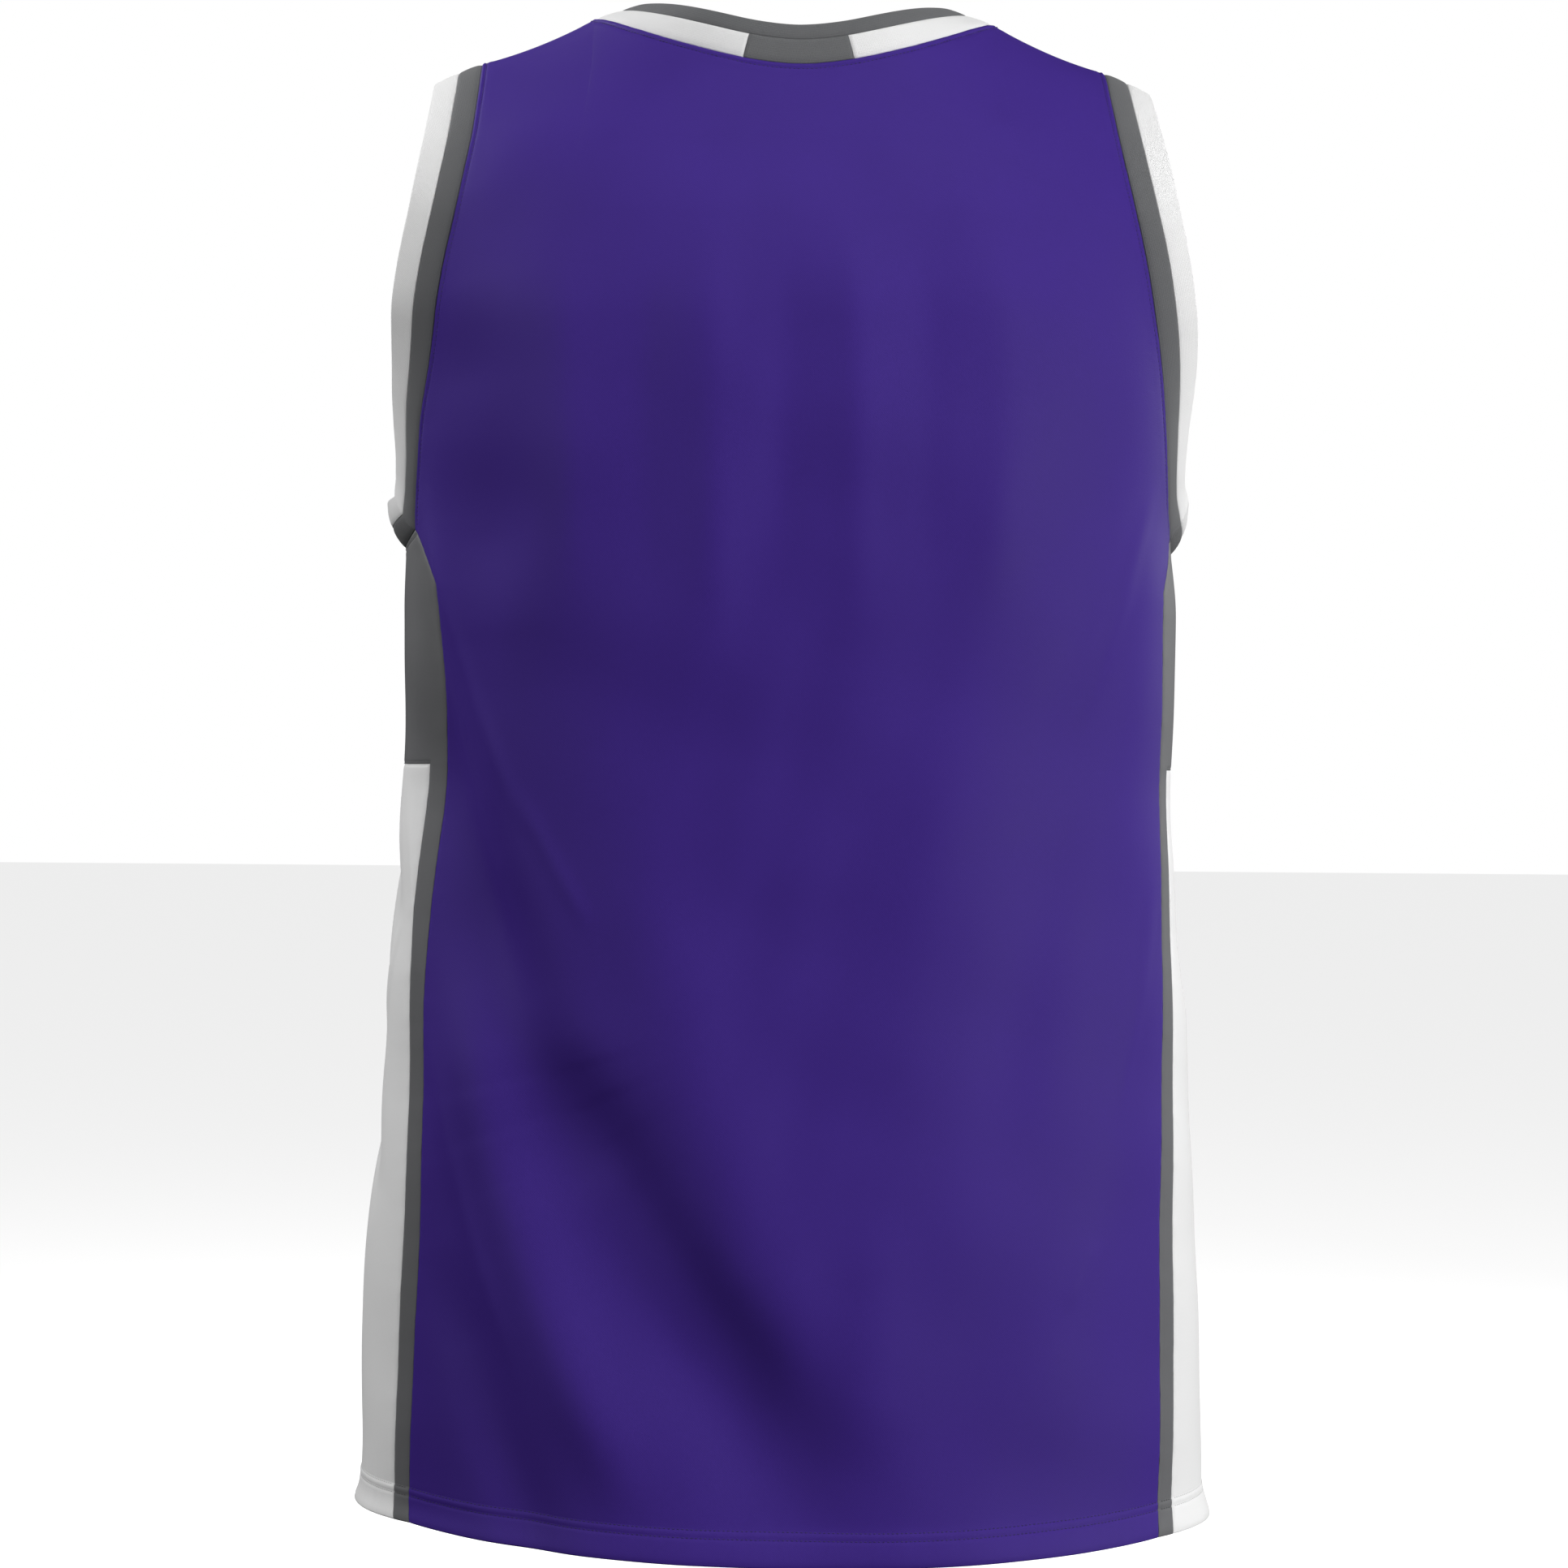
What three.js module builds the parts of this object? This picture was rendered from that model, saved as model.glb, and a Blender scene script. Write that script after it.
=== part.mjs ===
// A sleeveless basketball jersey, men's size M, filled out as on a wearer who isn't there.
// Each cut piece is a thin wall: back, front, a side panel and its inset on either side, the neck
// rib with its back block and edge stripe, and two ribs round each armhole.
// Units are millimetres. +X is the wearer's right, +Y the way the wearer faces, +Z up.
// The origin lies midway between the two straps, level with their middles, where shoulders carry it.
import * as THREE from "three";

// Cloth and seams
const BODY_CLOTH = 1.5; // thickness of the body panels
const RIB_CLOTH = 2; // thickness of the ribs
const SEAM_GAP = 0.3; // between two pieces that are sewn together

// Colours
const PURPLE = 0x453285;
const GREY = 0x636466;
const WHITE = 0xf2f2f2;
const CLOTH_ROUGHNESS = 0.6;
const RIB_ROUGHNESS = 0.8;

// Shoulders and neck
const NECK_HALF = 100; // from the centre to the neck end of a strap
const STRAP_END = 156; // from the centre to the armhole end of a strap
const NECK_POINT_Z = 11.5; // height of the strap at the neck
const STRAP_FALL = 0.56; // fall of the strap for each millimetre outwards, at the neck
const STRAP_EASE = 0.0027; // how quickly that fall flattens
const SHOULDER_ROLL = { back: 80, front: 70 }; // height over which the cloth rolls over the shoulder
const NECK_BOTTOM = { back: -21, front: -92 }; // lowest point of each neckline
const NECK_ROUNDNESS = { back: 1.8, front: 2.4 };

// Heights of the breaks between the rows of cloth, from the hem up
const HEM_Z = -738;
const HEM_RISE = 10; // how far the hem lifts from its middle to the sides
const HEM_TILT = 0.015; // the hem hangs a little lower on the wearer's right
const HEM_DEPTH = 14; // the turned hem, up to its stitching
const INSET_TOP_Z = -362; // top of the white inset in the side panel
const YOKE_Z = -275; // where the side panel reaches its full width
const UNDERARM_Z = -247; // where the panels meet the armhole
const UNDERARM_DIP = 8; // how much lower the armhole is at its middle
const STRIPE = 12.5; // width of the side panel beside the inset

// Ribs
const ARM_RIB = { inner: 12.5, outer: 13.5 };
const NECK_RIB = 13;
const NECK_EDGE = 8;
const NECK_STAND = { back: 73, front: 60, side: 18 }; // steepness of the neck rib, in degrees
const BLOCK_HALF = 27; // half the width of the block at the back of the neck

// Horizontal sections: half the width, the depth behind and ahead of the strap line, and how square
// the section is, where 2 is an ellipse.
const SECTIONS = [
  { z: 12, half: 188, back: 62, front: 50, square: 2.4 },
  { z: -21, half: 192, back: 72, front: 62, square: 2.4 },
  { z: -60, half: 195, back: 95, front: 82, square: 2.4 },
  { z: -100, half: 197, back: 114, front: 102, square: 2.4 },
  { z: -150, half: 198, back: 126, front: 120, square: 2.4 },
  { z: -204, half: 194.5, back: 129, front: 129, square: 2.4 },
  { z: -244, half: 190.8, back: 128, front: 131, square: 2.4 },
  { z: -286, half: 193, back: 126, front: 130, square: 2.4 },
  { z: -362, half: 192.5, back: 122, front: 127, square: 2.35 },
  { z: -425, half: 196, back: 122, front: 126, square: 2.3 },
  { z: -507, half: 201, back: 126, front: 128, square: 2.25 },
  { z: -589, half: 207, back: 131, front: 131, square: 2.2 },
  { z: -670, half: 209.5, back: 135, front: 134, square: 2.15 },
  { z: -718, half: 211, back: 137, front: 136, square: 2.1 },
  { z: -738, half: 216, back: 141, front: 140, square: 2.1 },
];

// Edge of the back and front at the armhole, from the strap down to the underarm.
const ARMHOLE = {
  back: [
    { z: -11, left: 156, right: 156 },
    { z: -46, left: 158, right: 158 },
    { z: -86, left: 164.5, right: 164.5 },
    { z: -125, left: 172.5, right: 172.5 },
    { z: -165, left: 179.5, right: 179.2 },
    { z: -200, left: 184, right: 182.6 },
    { z: -218, left: 185, right: 184.6 },
    { z: -232, left: 186, right: 186.8 },
    { z: -247, left: 187, right: 189.6 },
  ],
  front: [
    { z: -11, left: 156, right: 156 },
    { z: -46, left: 155, right: 155 },
    { z: -86, left: 156.5, right: 156.5 },
    { z: -125, left: 161, right: 161 },
    { z: -165, left: 168.5, right: 168.5 },
    { z: -200, left: 178, right: 178 },
    { z: -218, left: 182, right: 182 },
    { z: -232, left: 185.2, right: 185.6 },
    { z: -247, left: 187, right: 188.6 },
  ],
};

// Border of the back and front with each side panel, below the yoke.
const SIDE_BORDER = [
  { z: -275, left: 174, right: 182.5 },
  { z: -360, left: 176.5, right: 182.5 },
  { z: -460, left: 177.5, right: 183 },
  { z: -560, left: 178.5, right: 182 },
  { z: -650, left: 181, right: 181.5 },
  { z: -738, left: 182.5, right: 180.5 },
];

// How far the armhole ribs stand out sideways, as a share of their width, by height round the hole.
const RIB_FLARE = [
  { z: -11, inner: 0.93, outer: 0.9 },
  { z: -58, inner: 0.96, outer: 0.93 },
  { z: -99, inner: 0.95, outer: 0.87 },
  { z: -140, inner: 0.9, outer: 0.82 },
  { z: -160, inner: 0.82, outer: 0.74 },
  { z: -180, inner: 0.7, outer: 0.62 },
  { z: -200, inner: 0.56, outer: 0.5 },
  { z: -218, inner: 0.48, outer: 0.42 },
  { z: -232, inner: 0.46, outer: 0.38 },
  { z: -247, inner: 0.55, outer: 0.3 },
  { z: -255, inner: 0.62, outer: 0.15 },
];
// round the foot of the armhole the ribs turn to point at one height, so that they pass its corners
const FOOT = { z: -205, start: -203, ease: 24 };
// how far each row of the ribs has turned from the inner rib's direction to the outer one's
const RIB_BLEND = [0, 0.25, 0.75, 1];

// Large folds, as soft ridges (lift above 0) and troughs (below 0) along a curve.
// turn is the angle round the body in degrees: 0 at the centre back, 90 at the wearer's right side.
const MM_PER_DEGREE = 2.9;
const FOLDS = [
  // the long drag fold from the left underarm to the hem, and the ridges on both sides of it
  { turn0: -80, z0: -300, turn1: -64, z1: -440, turn2: -38, z2: -575, width: 22, lift: -8.5 },
  { turn0: -50, z0: -492, turn1: -43, z1: -600, turn2: 20, z2: -750, width: 35, lift: -12 },
  { turn0: -40, z0: -310, turn1: -26, z1: -540, turn2: 16, z2: -690, width: 30, lift: 3 },
  { turn0: -66, z0: -440, turn1: -54, z1: -611, turn2: -24, z2: -737, width: 17, lift: 4.5 },
  { turn0: -64, z0: -590, turn1: -54, z1: -670, turn2: -42, z2: -765, width: 14, lift: -4.5 },
  // the hollow under the left shoulder blade, and upright ripples between the blades
  { turn0: -63, z0: -130, turn1: -60, z1: -215, turn2: -58, z2: -300, width: 26, lift: -5 },
  { turn0: -48, z0: -90, turn1: -45, z1: -200, turn2: -44, z2: -330, width: 22, lift: 1.8 },
  { turn0: -20, z0: -80, turn1: -18, z1: -210, turn2: -17, z2: -350, width: 24, lift: 2.4 },
  { turn0: 11, z0: -70, turn1: 12, z1: -200, turn2: 13, z2: -340, width: 24, lift: 2.4 },
  { turn0: 40, z0: -80, turn1: 40, z1: -190, turn2: 38, z2: -310, width: 23, lift: 2.3 },
  // drag folds from the right underarm, and the swell above the hem
  { turn0: 64, z0: -260, turn1: 50, z1: -400, turn2: 38, z2: -580, width: 22, lift: -2.8 },
  { turn0: 44, z0: -290, turn1: 30, z1: -400, turn2: 18, z2: -540, width: 32, lift: 3 },
  { turn0: 62, z0: -500, turn1: 52, z1: -600, turn2: 46, z2: -700, width: 22, lift: 2.2 },
  { turn0: 14, z0: -560, turn1: 20, z1: -630, turn2: 12, z2: -700, width: 24, lift: 2.4 },
  // both sides, where the drag folds run on round the body
  { turn0: -112, z0: -330, turn1: -92, z1: -380, turn2: -78, z2: -470, width: 15, lift: -4 },
  { turn0: -122, z0: -450, turn1: -96, z1: -500, turn2: -80, z2: -590, width: 13, lift: -4.5 },
  { turn0: -108, z0: -540, turn1: -92, z1: -600, turn2: -84, z2: -700, width: 20, lift: 1.5 },
  { turn0: 112, z0: -330, turn1: 94, z1: -400, turn2: 84, z2: -480, width: 16, lift: -2 },
  // the front: drag folds from both underarms, and two soft upright folds at the hem
  { turn0: 118, z0: -250, turn1: 140, z1: -400, turn2: 168, z2: -520, width: 20, lift: -4 },
  { turn0: -118, z0: -250, turn1: -138, z1: -410, turn2: -160, z2: -560, width: 20, lift: -4.5 },
  { turn0: -150, z0: -480, turn1: -146, z1: -600, turn2: -152, z2: -760, width: 20, lift: 4.5 },
  { turn0: 150, z0: -520, turn1: 146, z1: -640, turn2: 148, z2: -760, width: 18, lift: 4 },
  { turn0: 176, z0: -500, turn1: 180, z1: -620, turn2: 182, z2: -760, width: 22, lift: -3.5 },
];
const FOLD_STEPS = 12; // straight steps that stand for a fold's curve
const FOLD_FADE = 0.3; // share of its length over which a fold grows out of flat cloth

// Cells of cloth, across from the centre outwards and up from the hem
const COLUMNS = { block: 2, neck: 6, strap: 3, inset: 6 };
const ROWS = { hem: 1, inset: 16, belowYoke: 4, yoke: 2, armhole: 14 };
const RIDGE_STEPS = 80; // samples along a line of cloth for spacing its cells

// Small steps for finding which way the cloth faces
const TURN_STEP = 1e-3; // radians
const Z_STEP = 0.05;
const ON_RIDGE = 1e-6; // this close to the strap line counts as on it

// Smooth value of one column of a table whose rows run from the top down.
function valueAt(table, z, column) {
  const last = table.length - 1;
  if (z >= table[0].z) return table[0][column];
  if (z <= table[last].z) return table[last][column];
  const k = table.findIndex((row) => row.z < z) - 1;
  const slope = (i) => {
    if (i <= 0 || i >= last) return 0;
    const above = (table[i][column] - table[i - 1][column]) / (table[i].z - table[i - 1].z);
    const below = (table[i + 1][column] - table[i][column]) / (table[i + 1].z - table[i].z);
    return above * below > 0 ? (2 * above * below) / (above + below) : 0;
  };
  const span = table[k + 1].z - table[k].z;
  const t = (z - table[k].z) / span;
  const ease = t * t * (3 - 2 * t);
  return (
    (1 - ease) * table[k][column] +
    t * (1 - t) ** 2 * span * slope(k) +
    ease * table[k + 1][column] -
    t * t * (1 - t) * span * slope(k + 1)
  );
}

function smoothStep(t) {
  const c = Math.min(1, Math.max(0, t));
  return c * c * (3 - 2 * c);
}

// Height of the strap line at a distance from the centre.
function strapZ(x) {
  const out = Math.abs(x) - NECK_HALF;
  return NECK_POINT_Z - STRAP_FALL * out + STRAP_EASE * out * out;
}

function necklineZ(face, x) {
  const share = Math.abs(x / NECK_HALF) ** NECK_ROUNDNESS[face];
  return NECK_BOTTOM[face] + (NECK_POINT_Z - NECK_BOTTOM[face]) * share;
}

function hemZ(x) {
  return HEM_Z + HEM_RISE * (x / SECTIONS.at(-1).half) ** 2 - HEM_TILT * x;
}

// Distance from the centre to the edge of the back or front: the side border, the yoke's slope or
// the armhole. side is 1 for the wearer's right.
function panelHalf(face, side, z) {
  const armhole = ARMHOLE[face];
  const column = side > 0 ? "right" : "left";
  if (z >= UNDERARM_Z) return valueAt(armhole, z, column);
  if (z <= YOKE_Z) return valueAt(SIDE_BORDER, z, column);
  const share = (z - YOKE_Z) / (UNDERARM_Z - YOKE_Z);
  return THREE.MathUtils.lerp(SIDE_BORDER[0][column], armhole.at(-1)[column], share);
}

// How far the folds lift the cloth at an angle round the body and a height.
function foldLift(turn, z) {
  let lift = 0;
  for (const fold of FOLDS) {
    const along = (t) => [
      ((1 - t) ** 2 * fold.turn0 + 2 * t * (1 - t) * fold.turn1 + t * t * fold.turn2) * MM_PER_DEGREE,
      (1 - t) ** 2 * fold.z0 + 2 * t * (1 - t) * fold.z1 + t * t * fold.z2,
    ];
    // the front's folds are written past 180 degrees on both sides
    const wrap = 360 * Math.round((fold.turn1 - turn) / 360);
    const across = (turn + wrap) * MM_PER_DEGREE;
    let nearest = Infinity;
    let share = 0;
    for (let i = 0; i < FOLD_STEPS; i++) {
      const [ax, az] = along(i / FOLD_STEPS);
      const [bx, bz] = along((i + 1) / FOLD_STEPS);
      const [dx, dz] = [bx - ax, bz - az];
      const t = Math.min(1, Math.max(0, ((across - ax) * dx + (z - az) * dz) / (dx * dx + dz * dz)));
      const distance = Math.hypot(across - ax - t * dx, z - az - t * dz);
      if (distance < nearest) {
        nearest = distance;
        share = (i + t) / FOLD_STEPS;
      }
    }
    const fade = smoothStep(share / FOLD_FADE) * smoothStep((1 - share) / FOLD_FADE);
    lift += fold.lift * fade * Math.exp(-((nearest / fold.width) ** 2));
  }
  return lift;
}

// A point of the outer cloth. angle is 0 at the centre back and a right angle at the wearer's right.
function clothPoint(angle, z) {
  const square = valueAt(SECTIONS, z, "square");
  const power = 2 / square;
  const [sine, cosine] = [Math.sin(angle), Math.cos(angle)];
  const face = cosine >= 0 ? "back" : "front";
  const half = valueAt(SECTIONS, z, "half");
  const depth = valueAt(SECTIONS, z, face);
  const x = Math.sign(sine) * half * Math.abs(sine) ** power;
  const down = Math.min(1, Math.max(0, (strapZ(x) - z) / SHOULDER_ROLL[face]));
  const roll = Math.sqrt(1 - (1 - down) ** 2);
  const y = -Math.sign(cosine) * depth * Math.abs(cosine) ** power * roll;
  const outX = (Math.sign(x) * Math.abs(x / half) ** (square - 1)) / half;
  const outY = (Math.sign(y) * Math.abs(y / depth) ** (square - 1)) / depth;
  const turn = THREE.MathUtils.radToDeg(Math.atan2(x, -y));
  const lift = foldLift(turn, z) / (Math.hypot(outX, outY) || 1);
  return new THREE.Vector3(x + lift * outX, y + lift * outY, z);
}

// A point of the cloth with the direction that faces out of it.
function clothAt(angle, z) {
  const point = clothPoint(angle, z);
  const belowRidge = strapZ(point.x) - z;
  if (Math.abs(Math.sin(angle)) > 0 && belowRidge < ON_RIDGE) {
    const fall = -STRAP_FALL + 2 * STRAP_EASE * (Math.abs(point.x) - NECK_HALF);
    return { point, normal: new THREE.Vector3(-fall * Math.sign(point.x), 0, 1).normalize() };
  }
  const round = clothPoint(angle + TURN_STEP, z).sub(clothPoint(angle - TURN_STEP, z));
  const top = z + Math.min(Z_STEP, belowRidge / 2);
  const up = clothPoint(angle, top).sub(clothPoint(angle, z - Z_STEP));
  return { point, normal: round.cross(up).normalize() };
}

// Length along a line of points up to each of them.
function lengthsAlong(points) {
  const lengths = [0];
  for (let i = 1; i < points.length; i++) {
    lengths.push(lengths[i - 1] + points[i].distanceTo(points[i - 1]));
  }
  return lengths;
}

// Where on a line a length is reached: the number of the point before it, and the share beyond that.
function placeAt(lengths, target) {
  const after = lengths.findIndex((length) => length >= target);
  const k = Math.min(lengths.length - 2, Math.max(0, after - 1));
  return [k, (target - lengths[k]) / (lengths[k + 1] - lengths[k])];
}

// The angle at which the section at a height is a given distance from the centre plane.
function angleOf(face, x, z) {
  const share = Math.min(1, Math.abs(x) / valueAt(SECTIONS, z, "half"));
  const angle = Math.sign(x) * Math.asin(share ** (valueAt(SECTIONS, z, "square") / 2));
  return face === "back" ? angle : Math.PI - angle;
}

// Rows of the lower cloth, as heights, from the hem at a distance x from the centre to the underarm.
function lowerRows(x) {
  const bottom = hemZ(x);
  const zones = [
    [bottom, bottom + HEM_DEPTH, ROWS.hem],
    [bottom + HEM_DEPTH, INSET_TOP_Z, ROWS.inset],
    [INSET_TOP_Z, YOKE_Z, ROWS.belowYoke],
    [YOKE_Z, UNDERARM_Z, ROWS.yoke],
  ];
  const rows = [bottom];
  for (const [from, to, count] of zones) {
    for (let i = 1; i <= count; i++) rows.push(from + ((to - from) * i) / count);
  }
  return rows;
}

// Rows of one column of the back or front above the underarm, evenly spaced along the cloth.
function upperRows(xAt, face, topZ) {
  const heightAt = (t) => UNDERARM_Z + (topZ - UNDERARM_Z) * (1 - (1 - t) ** 2);
  const points = [];
  for (let i = 0; i <= RIDGE_STEPS; i++) {
    const z = heightAt(i / RIDGE_STEPS);
    points.push(clothPoint(angleOf(face, xAt(z), z), z));
  }
  const lengths = lengthsAlong(points);
  const rows = [];
  for (let i = 1; i < ROWS.armhole; i++) {
    const [k, part] = placeAt(lengths, (lengths.at(-1) * i) / ROWS.armhole);
    rows.push(heightAt((k + part) / RIDGE_STEPS));
  }
  return [...rows, topZ];
}

// Where the columns of the back and front end at their top edge, from the wearer's left to the right.
function columnTops() {
  const right = [];
  for (let i = 0; i < COLUMNS.block; i++) right.push((BLOCK_HALF * i) / COLUMNS.block);
  // closer together towards the strap, where the neckline runs from back to front
  const first = Math.asin(BLOCK_HALF / NECK_HALF);
  for (let i = 0; i < COLUMNS.neck; i++) {
    right.push(NECK_HALF * Math.sin(first + ((Math.PI / 2 - first) * i) / COLUMNS.neck));
  }
  for (let i = 0; i <= COLUMNS.strap; i++) {
    right.push(NECK_HALF + ((STRAP_END - NECK_HALF) * i) / COLUMNS.strap);
  }
  return [...right.slice(1).reverse().map((x) => -x), ...right];
}

// The grid of the back or front: rows from the hem up, each a list of points from left to right.
// Columns are evenly spaced below the underarm, and ease from there to their places at the top.
function panelGrid(face) {
  const tops = columnTops();
  const middle = (tops.length - 1) / 2;
  const columns = tops.map((x, j) => {
    const side = Math.sign(j - middle) || 1;
    const topZ = Math.abs(x) < NECK_HALF ? necklineZ(face, x) : strapZ(x);
    const even = (j - middle) / middle;
    const top = x / panelHalf(face, side, topZ);
    const xAt = (z) => {
      const share = THREE.MathUtils.lerp(even, top, smoothStep((z - UNDERARM_Z) / (topZ - UNDERARM_Z)));
      return share * panelHalf(face, side, z);
    };
    const heights = [...lowerRows(xAt(HEM_Z)), ...upperRows(xAt, face, topZ)];
    return heights.map((z) => clothAt(angleOf(face, xAt(z), z), z));
  });
  return columns[0].map((_, i) => columns.map((column) => column[i]));
}

// The grid of one side, from the back border to the front one. Columns are lengths along the cloth
// from the nearer border, written as [share of the width, millimetres].
function sideGrid(side, columns) {
  return lowerRows(side * panelHalf("back", side, HEM_Z)).map((borderZ, row) => {
    const topRow = row - (ROWS.hem + ROWS.inset + ROWS.belowYoke);
    const dip = topRow > 0 ? (UNDERARM_DIP * topRow) / ROWS.yoke : 0;
    const from = angleOf("back", side * panelHalf("back", side, borderZ), borderZ);
    let to = angleOf("front", side * panelHalf("front", side, borderZ), borderZ);
    if (side < 0) to -= 2 * Math.PI;
    const angleAt = (share) => THREE.MathUtils.lerp(from, to, share);
    const points = [];
    for (let i = 0; i <= RIDGE_STEPS; i++) points.push(clothPoint(angleAt(i / RIDGE_STEPS), borderZ));
    const lengths = lengthsAlong(points);
    return columns.map(([share, extra]) => {
      const target = lengths.at(-1) * share + extra;
      const [k, part] = placeAt(lengths, target);
      const across = target / lengths.at(-1);
      return clothAt(angleAt((k + part) / RIDGE_STEPS), borderZ - dip * Math.sin(Math.PI * across));
    });
  });
}

// Moves an edge of a grid half a seam gap towards the cloth beside it.
function pullIn(point, neighbour) {
  const step = neighbour.clone().sub(point).setLength(SEAM_GAP / 2);
  return point.clone().add(step);
}

// Pulls in both sides and the top of a panel, and leaves its hem.
function withSeams(grid) {
  const made = grid.map((row) => row.map((node) => ({ ...node })));
  const [last, right] = [grid.length - 1, grid[0].length - 1];
  for (const row of made) {
    row[0].point = pullIn(row[0].point, row[1].point);
    row[right].point = pullIn(row[right].point, row[right - 1].point);
  }
  made[last].forEach((node, j) => (node.point = pullIn(node.point, made[last - 1][j].point)));
  return made;
}

// Pulls in both ends of a rib that doesn't go all the way round.
function withEnds(strip) {
  const made = strip.map((row) => row.map((node) => ({ ...node })));
  const last = made.length - 1;
  made[0].forEach((node, j) => (node.point = pullIn(node.point, strip[1][j].point)));
  made[last].forEach((node, j) => (node.point = pullIn(node.point, strip[last - 1][j].point)));
  return made;
}

// A closed wall of cloth on a grid. filled says which cells hold cloth; closed joins last row to first.
function clothWall(grid, thickness, { closed = false, filled = () => true } = {}) {
  const rows = closed ? grid.length : grid.length - 1;
  const columns = grid[0].length - 1;
  const node = (i, j) => grid[i % grid.length][j];
  const outer = (i, j) => node(i, j).point;
  const inner = (i, j) => node(i, j).point.clone().addScaledVector(node(i, j).normal, -thickness);
  const [i0, j0] = [Math.floor(rows / 2), Math.floor(columns / 2)];
  const along = outer(i0, j0 + 1).clone().sub(outer(i0, j0));
  const up = outer(i0 + 1, j0).clone().sub(outer(i0, j0));
  const facesOut = along.cross(up).dot(node(i0, j0).normal) > 0;
  const numbers = [];
  const triangle = (...corners) => {
    const ordered = facesOut ? corners : corners.reverse();
    for (const corner of ordered) numbers.push(corner.x, corner.y, corner.z);
  };
  const holds = (i, j) => {
    if (j < 0 || j >= columns) return false;
    if (!closed && (i < 0 || i >= rows)) return false;
    return filled((i + rows) % rows, j);
  };
  for (let i = 0; i < rows; i++) {
    for (let j = 0; j < columns; j++) {
      if (!filled(i, j)) continue;
      const corners = [[i, j], [i, j + 1], [i + 1, j + 1], [i + 1, j]];
      const [a, b, c, d] = corners.map((corner) => outer(...corner));
      const [e, f, g, h] = corners.map((corner) => inner(...corner));
      triangle(a, b, c);
      triangle(a, c, d);
      triangle(e, g, f);
      triangle(e, h, g);
      const neighbours = [[i - 1, j], [i, j + 1], [i + 1, j], [i, j - 1]];
      neighbours.forEach((neighbour, k) => {
        if (holds(...neighbour)) return;
        const [from, to] = [corners[k], corners[(k + 1) % 4]];
        triangle(outer(...to), outer(...from), inner(...from));
        triangle(outer(...to), inner(...from), inner(...to));
      });
    }
  }
  const geometry = new THREE.BufferGeometry();
  geometry.setAttribute("position", new THREE.BufferAttribute(new Float32Array(numbers), 3));
  geometry.computeVertexNormals();
  return geometry;
}

const jersey = new THREE.Group();
jersey.name = "jersey";

function addPiece(name, geometry, color, roughness) {
  const material = new THREE.MeshStandardMaterial({ color, roughness, metalness: 0 });
  const mesh = new THREE.Mesh(geometry, material);
  mesh.name = name;
  jersey.add(mesh);
}

// The seam round a hole as a closed loop of cloth points, each with the direction along the seam.
function seamLoop(nodes) {
  return nodes.map((node, i) => {
    const before = nodes[(i + nodes.length - 1) % nodes.length].point;
    const after = nodes[(i + 1) % nodes.length].point;
    return { ...node, along: after.clone().sub(before).normalize() };
  });
}

// The seam of the neck: left to right along the back's neckline, and back along the front's.
function neckSeam(back, front) {
  const first = COLUMNS.strap;
  const last = back[0].length - 1 - COLUMNS.strap;
  const behind = back.at(-1).slice(first, last + 1);
  const ahead = front.at(-1).slice(first + 1, last).reverse();
  return seamLoop([...behind, ...ahead]);
}

// The seam of one armhole: up the back's edge, down the front's and back under the arm.
function armholeSeam(side, back, front, sideFrame) {
  const column = side > 0 ? back[0].length - 1 : 0;
  const underarm = back.length - 1 - ROWS.armhole;
  const rising = back.slice(underarm).map((row) => row[column]);
  const falling = front.slice(underarm, -1).map((row) => row[column]).reverse();
  const under = sideFrame.at(-1).slice(1, -1).reverse();
  return seamLoop([...rising, ...falling, ...under]);
}

// The neck ribs stand up from the seam, steepest at the centre back.
function neckRibGrid(seam, from, to) {
  const [start, end] = [from + SEAM_GAP / 2, to];
  return seam.map(({ point, normal, along }) => {
    const steepest = point.y < 0 ? NECK_STAND.back : NECK_STAND.front;
    const sideways = Math.min(1, Math.abs(point.x / NECK_HALF)) ** 3;
    const rise = THREE.MathUtils.degToRad(THREE.MathUtils.lerp(steepest, NECK_STAND.side, sideways));
    const inwards = new THREE.Vector3(-along.y, along.x, 0).setLength(Math.cos(rise));
    const step = inwards.setZ(Math.sin(rise)).addScaledVector(along, -inwards.dot(along)).normalize();
    const facing = along.clone().cross(step);
    return [start, (start + end) / 2, end].map((width, i) => ({
      point: point.clone().addScaledVector(step, width),
      normal: from === 0 && i === 0 ? normal : facing,
    }));
  });
}

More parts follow.
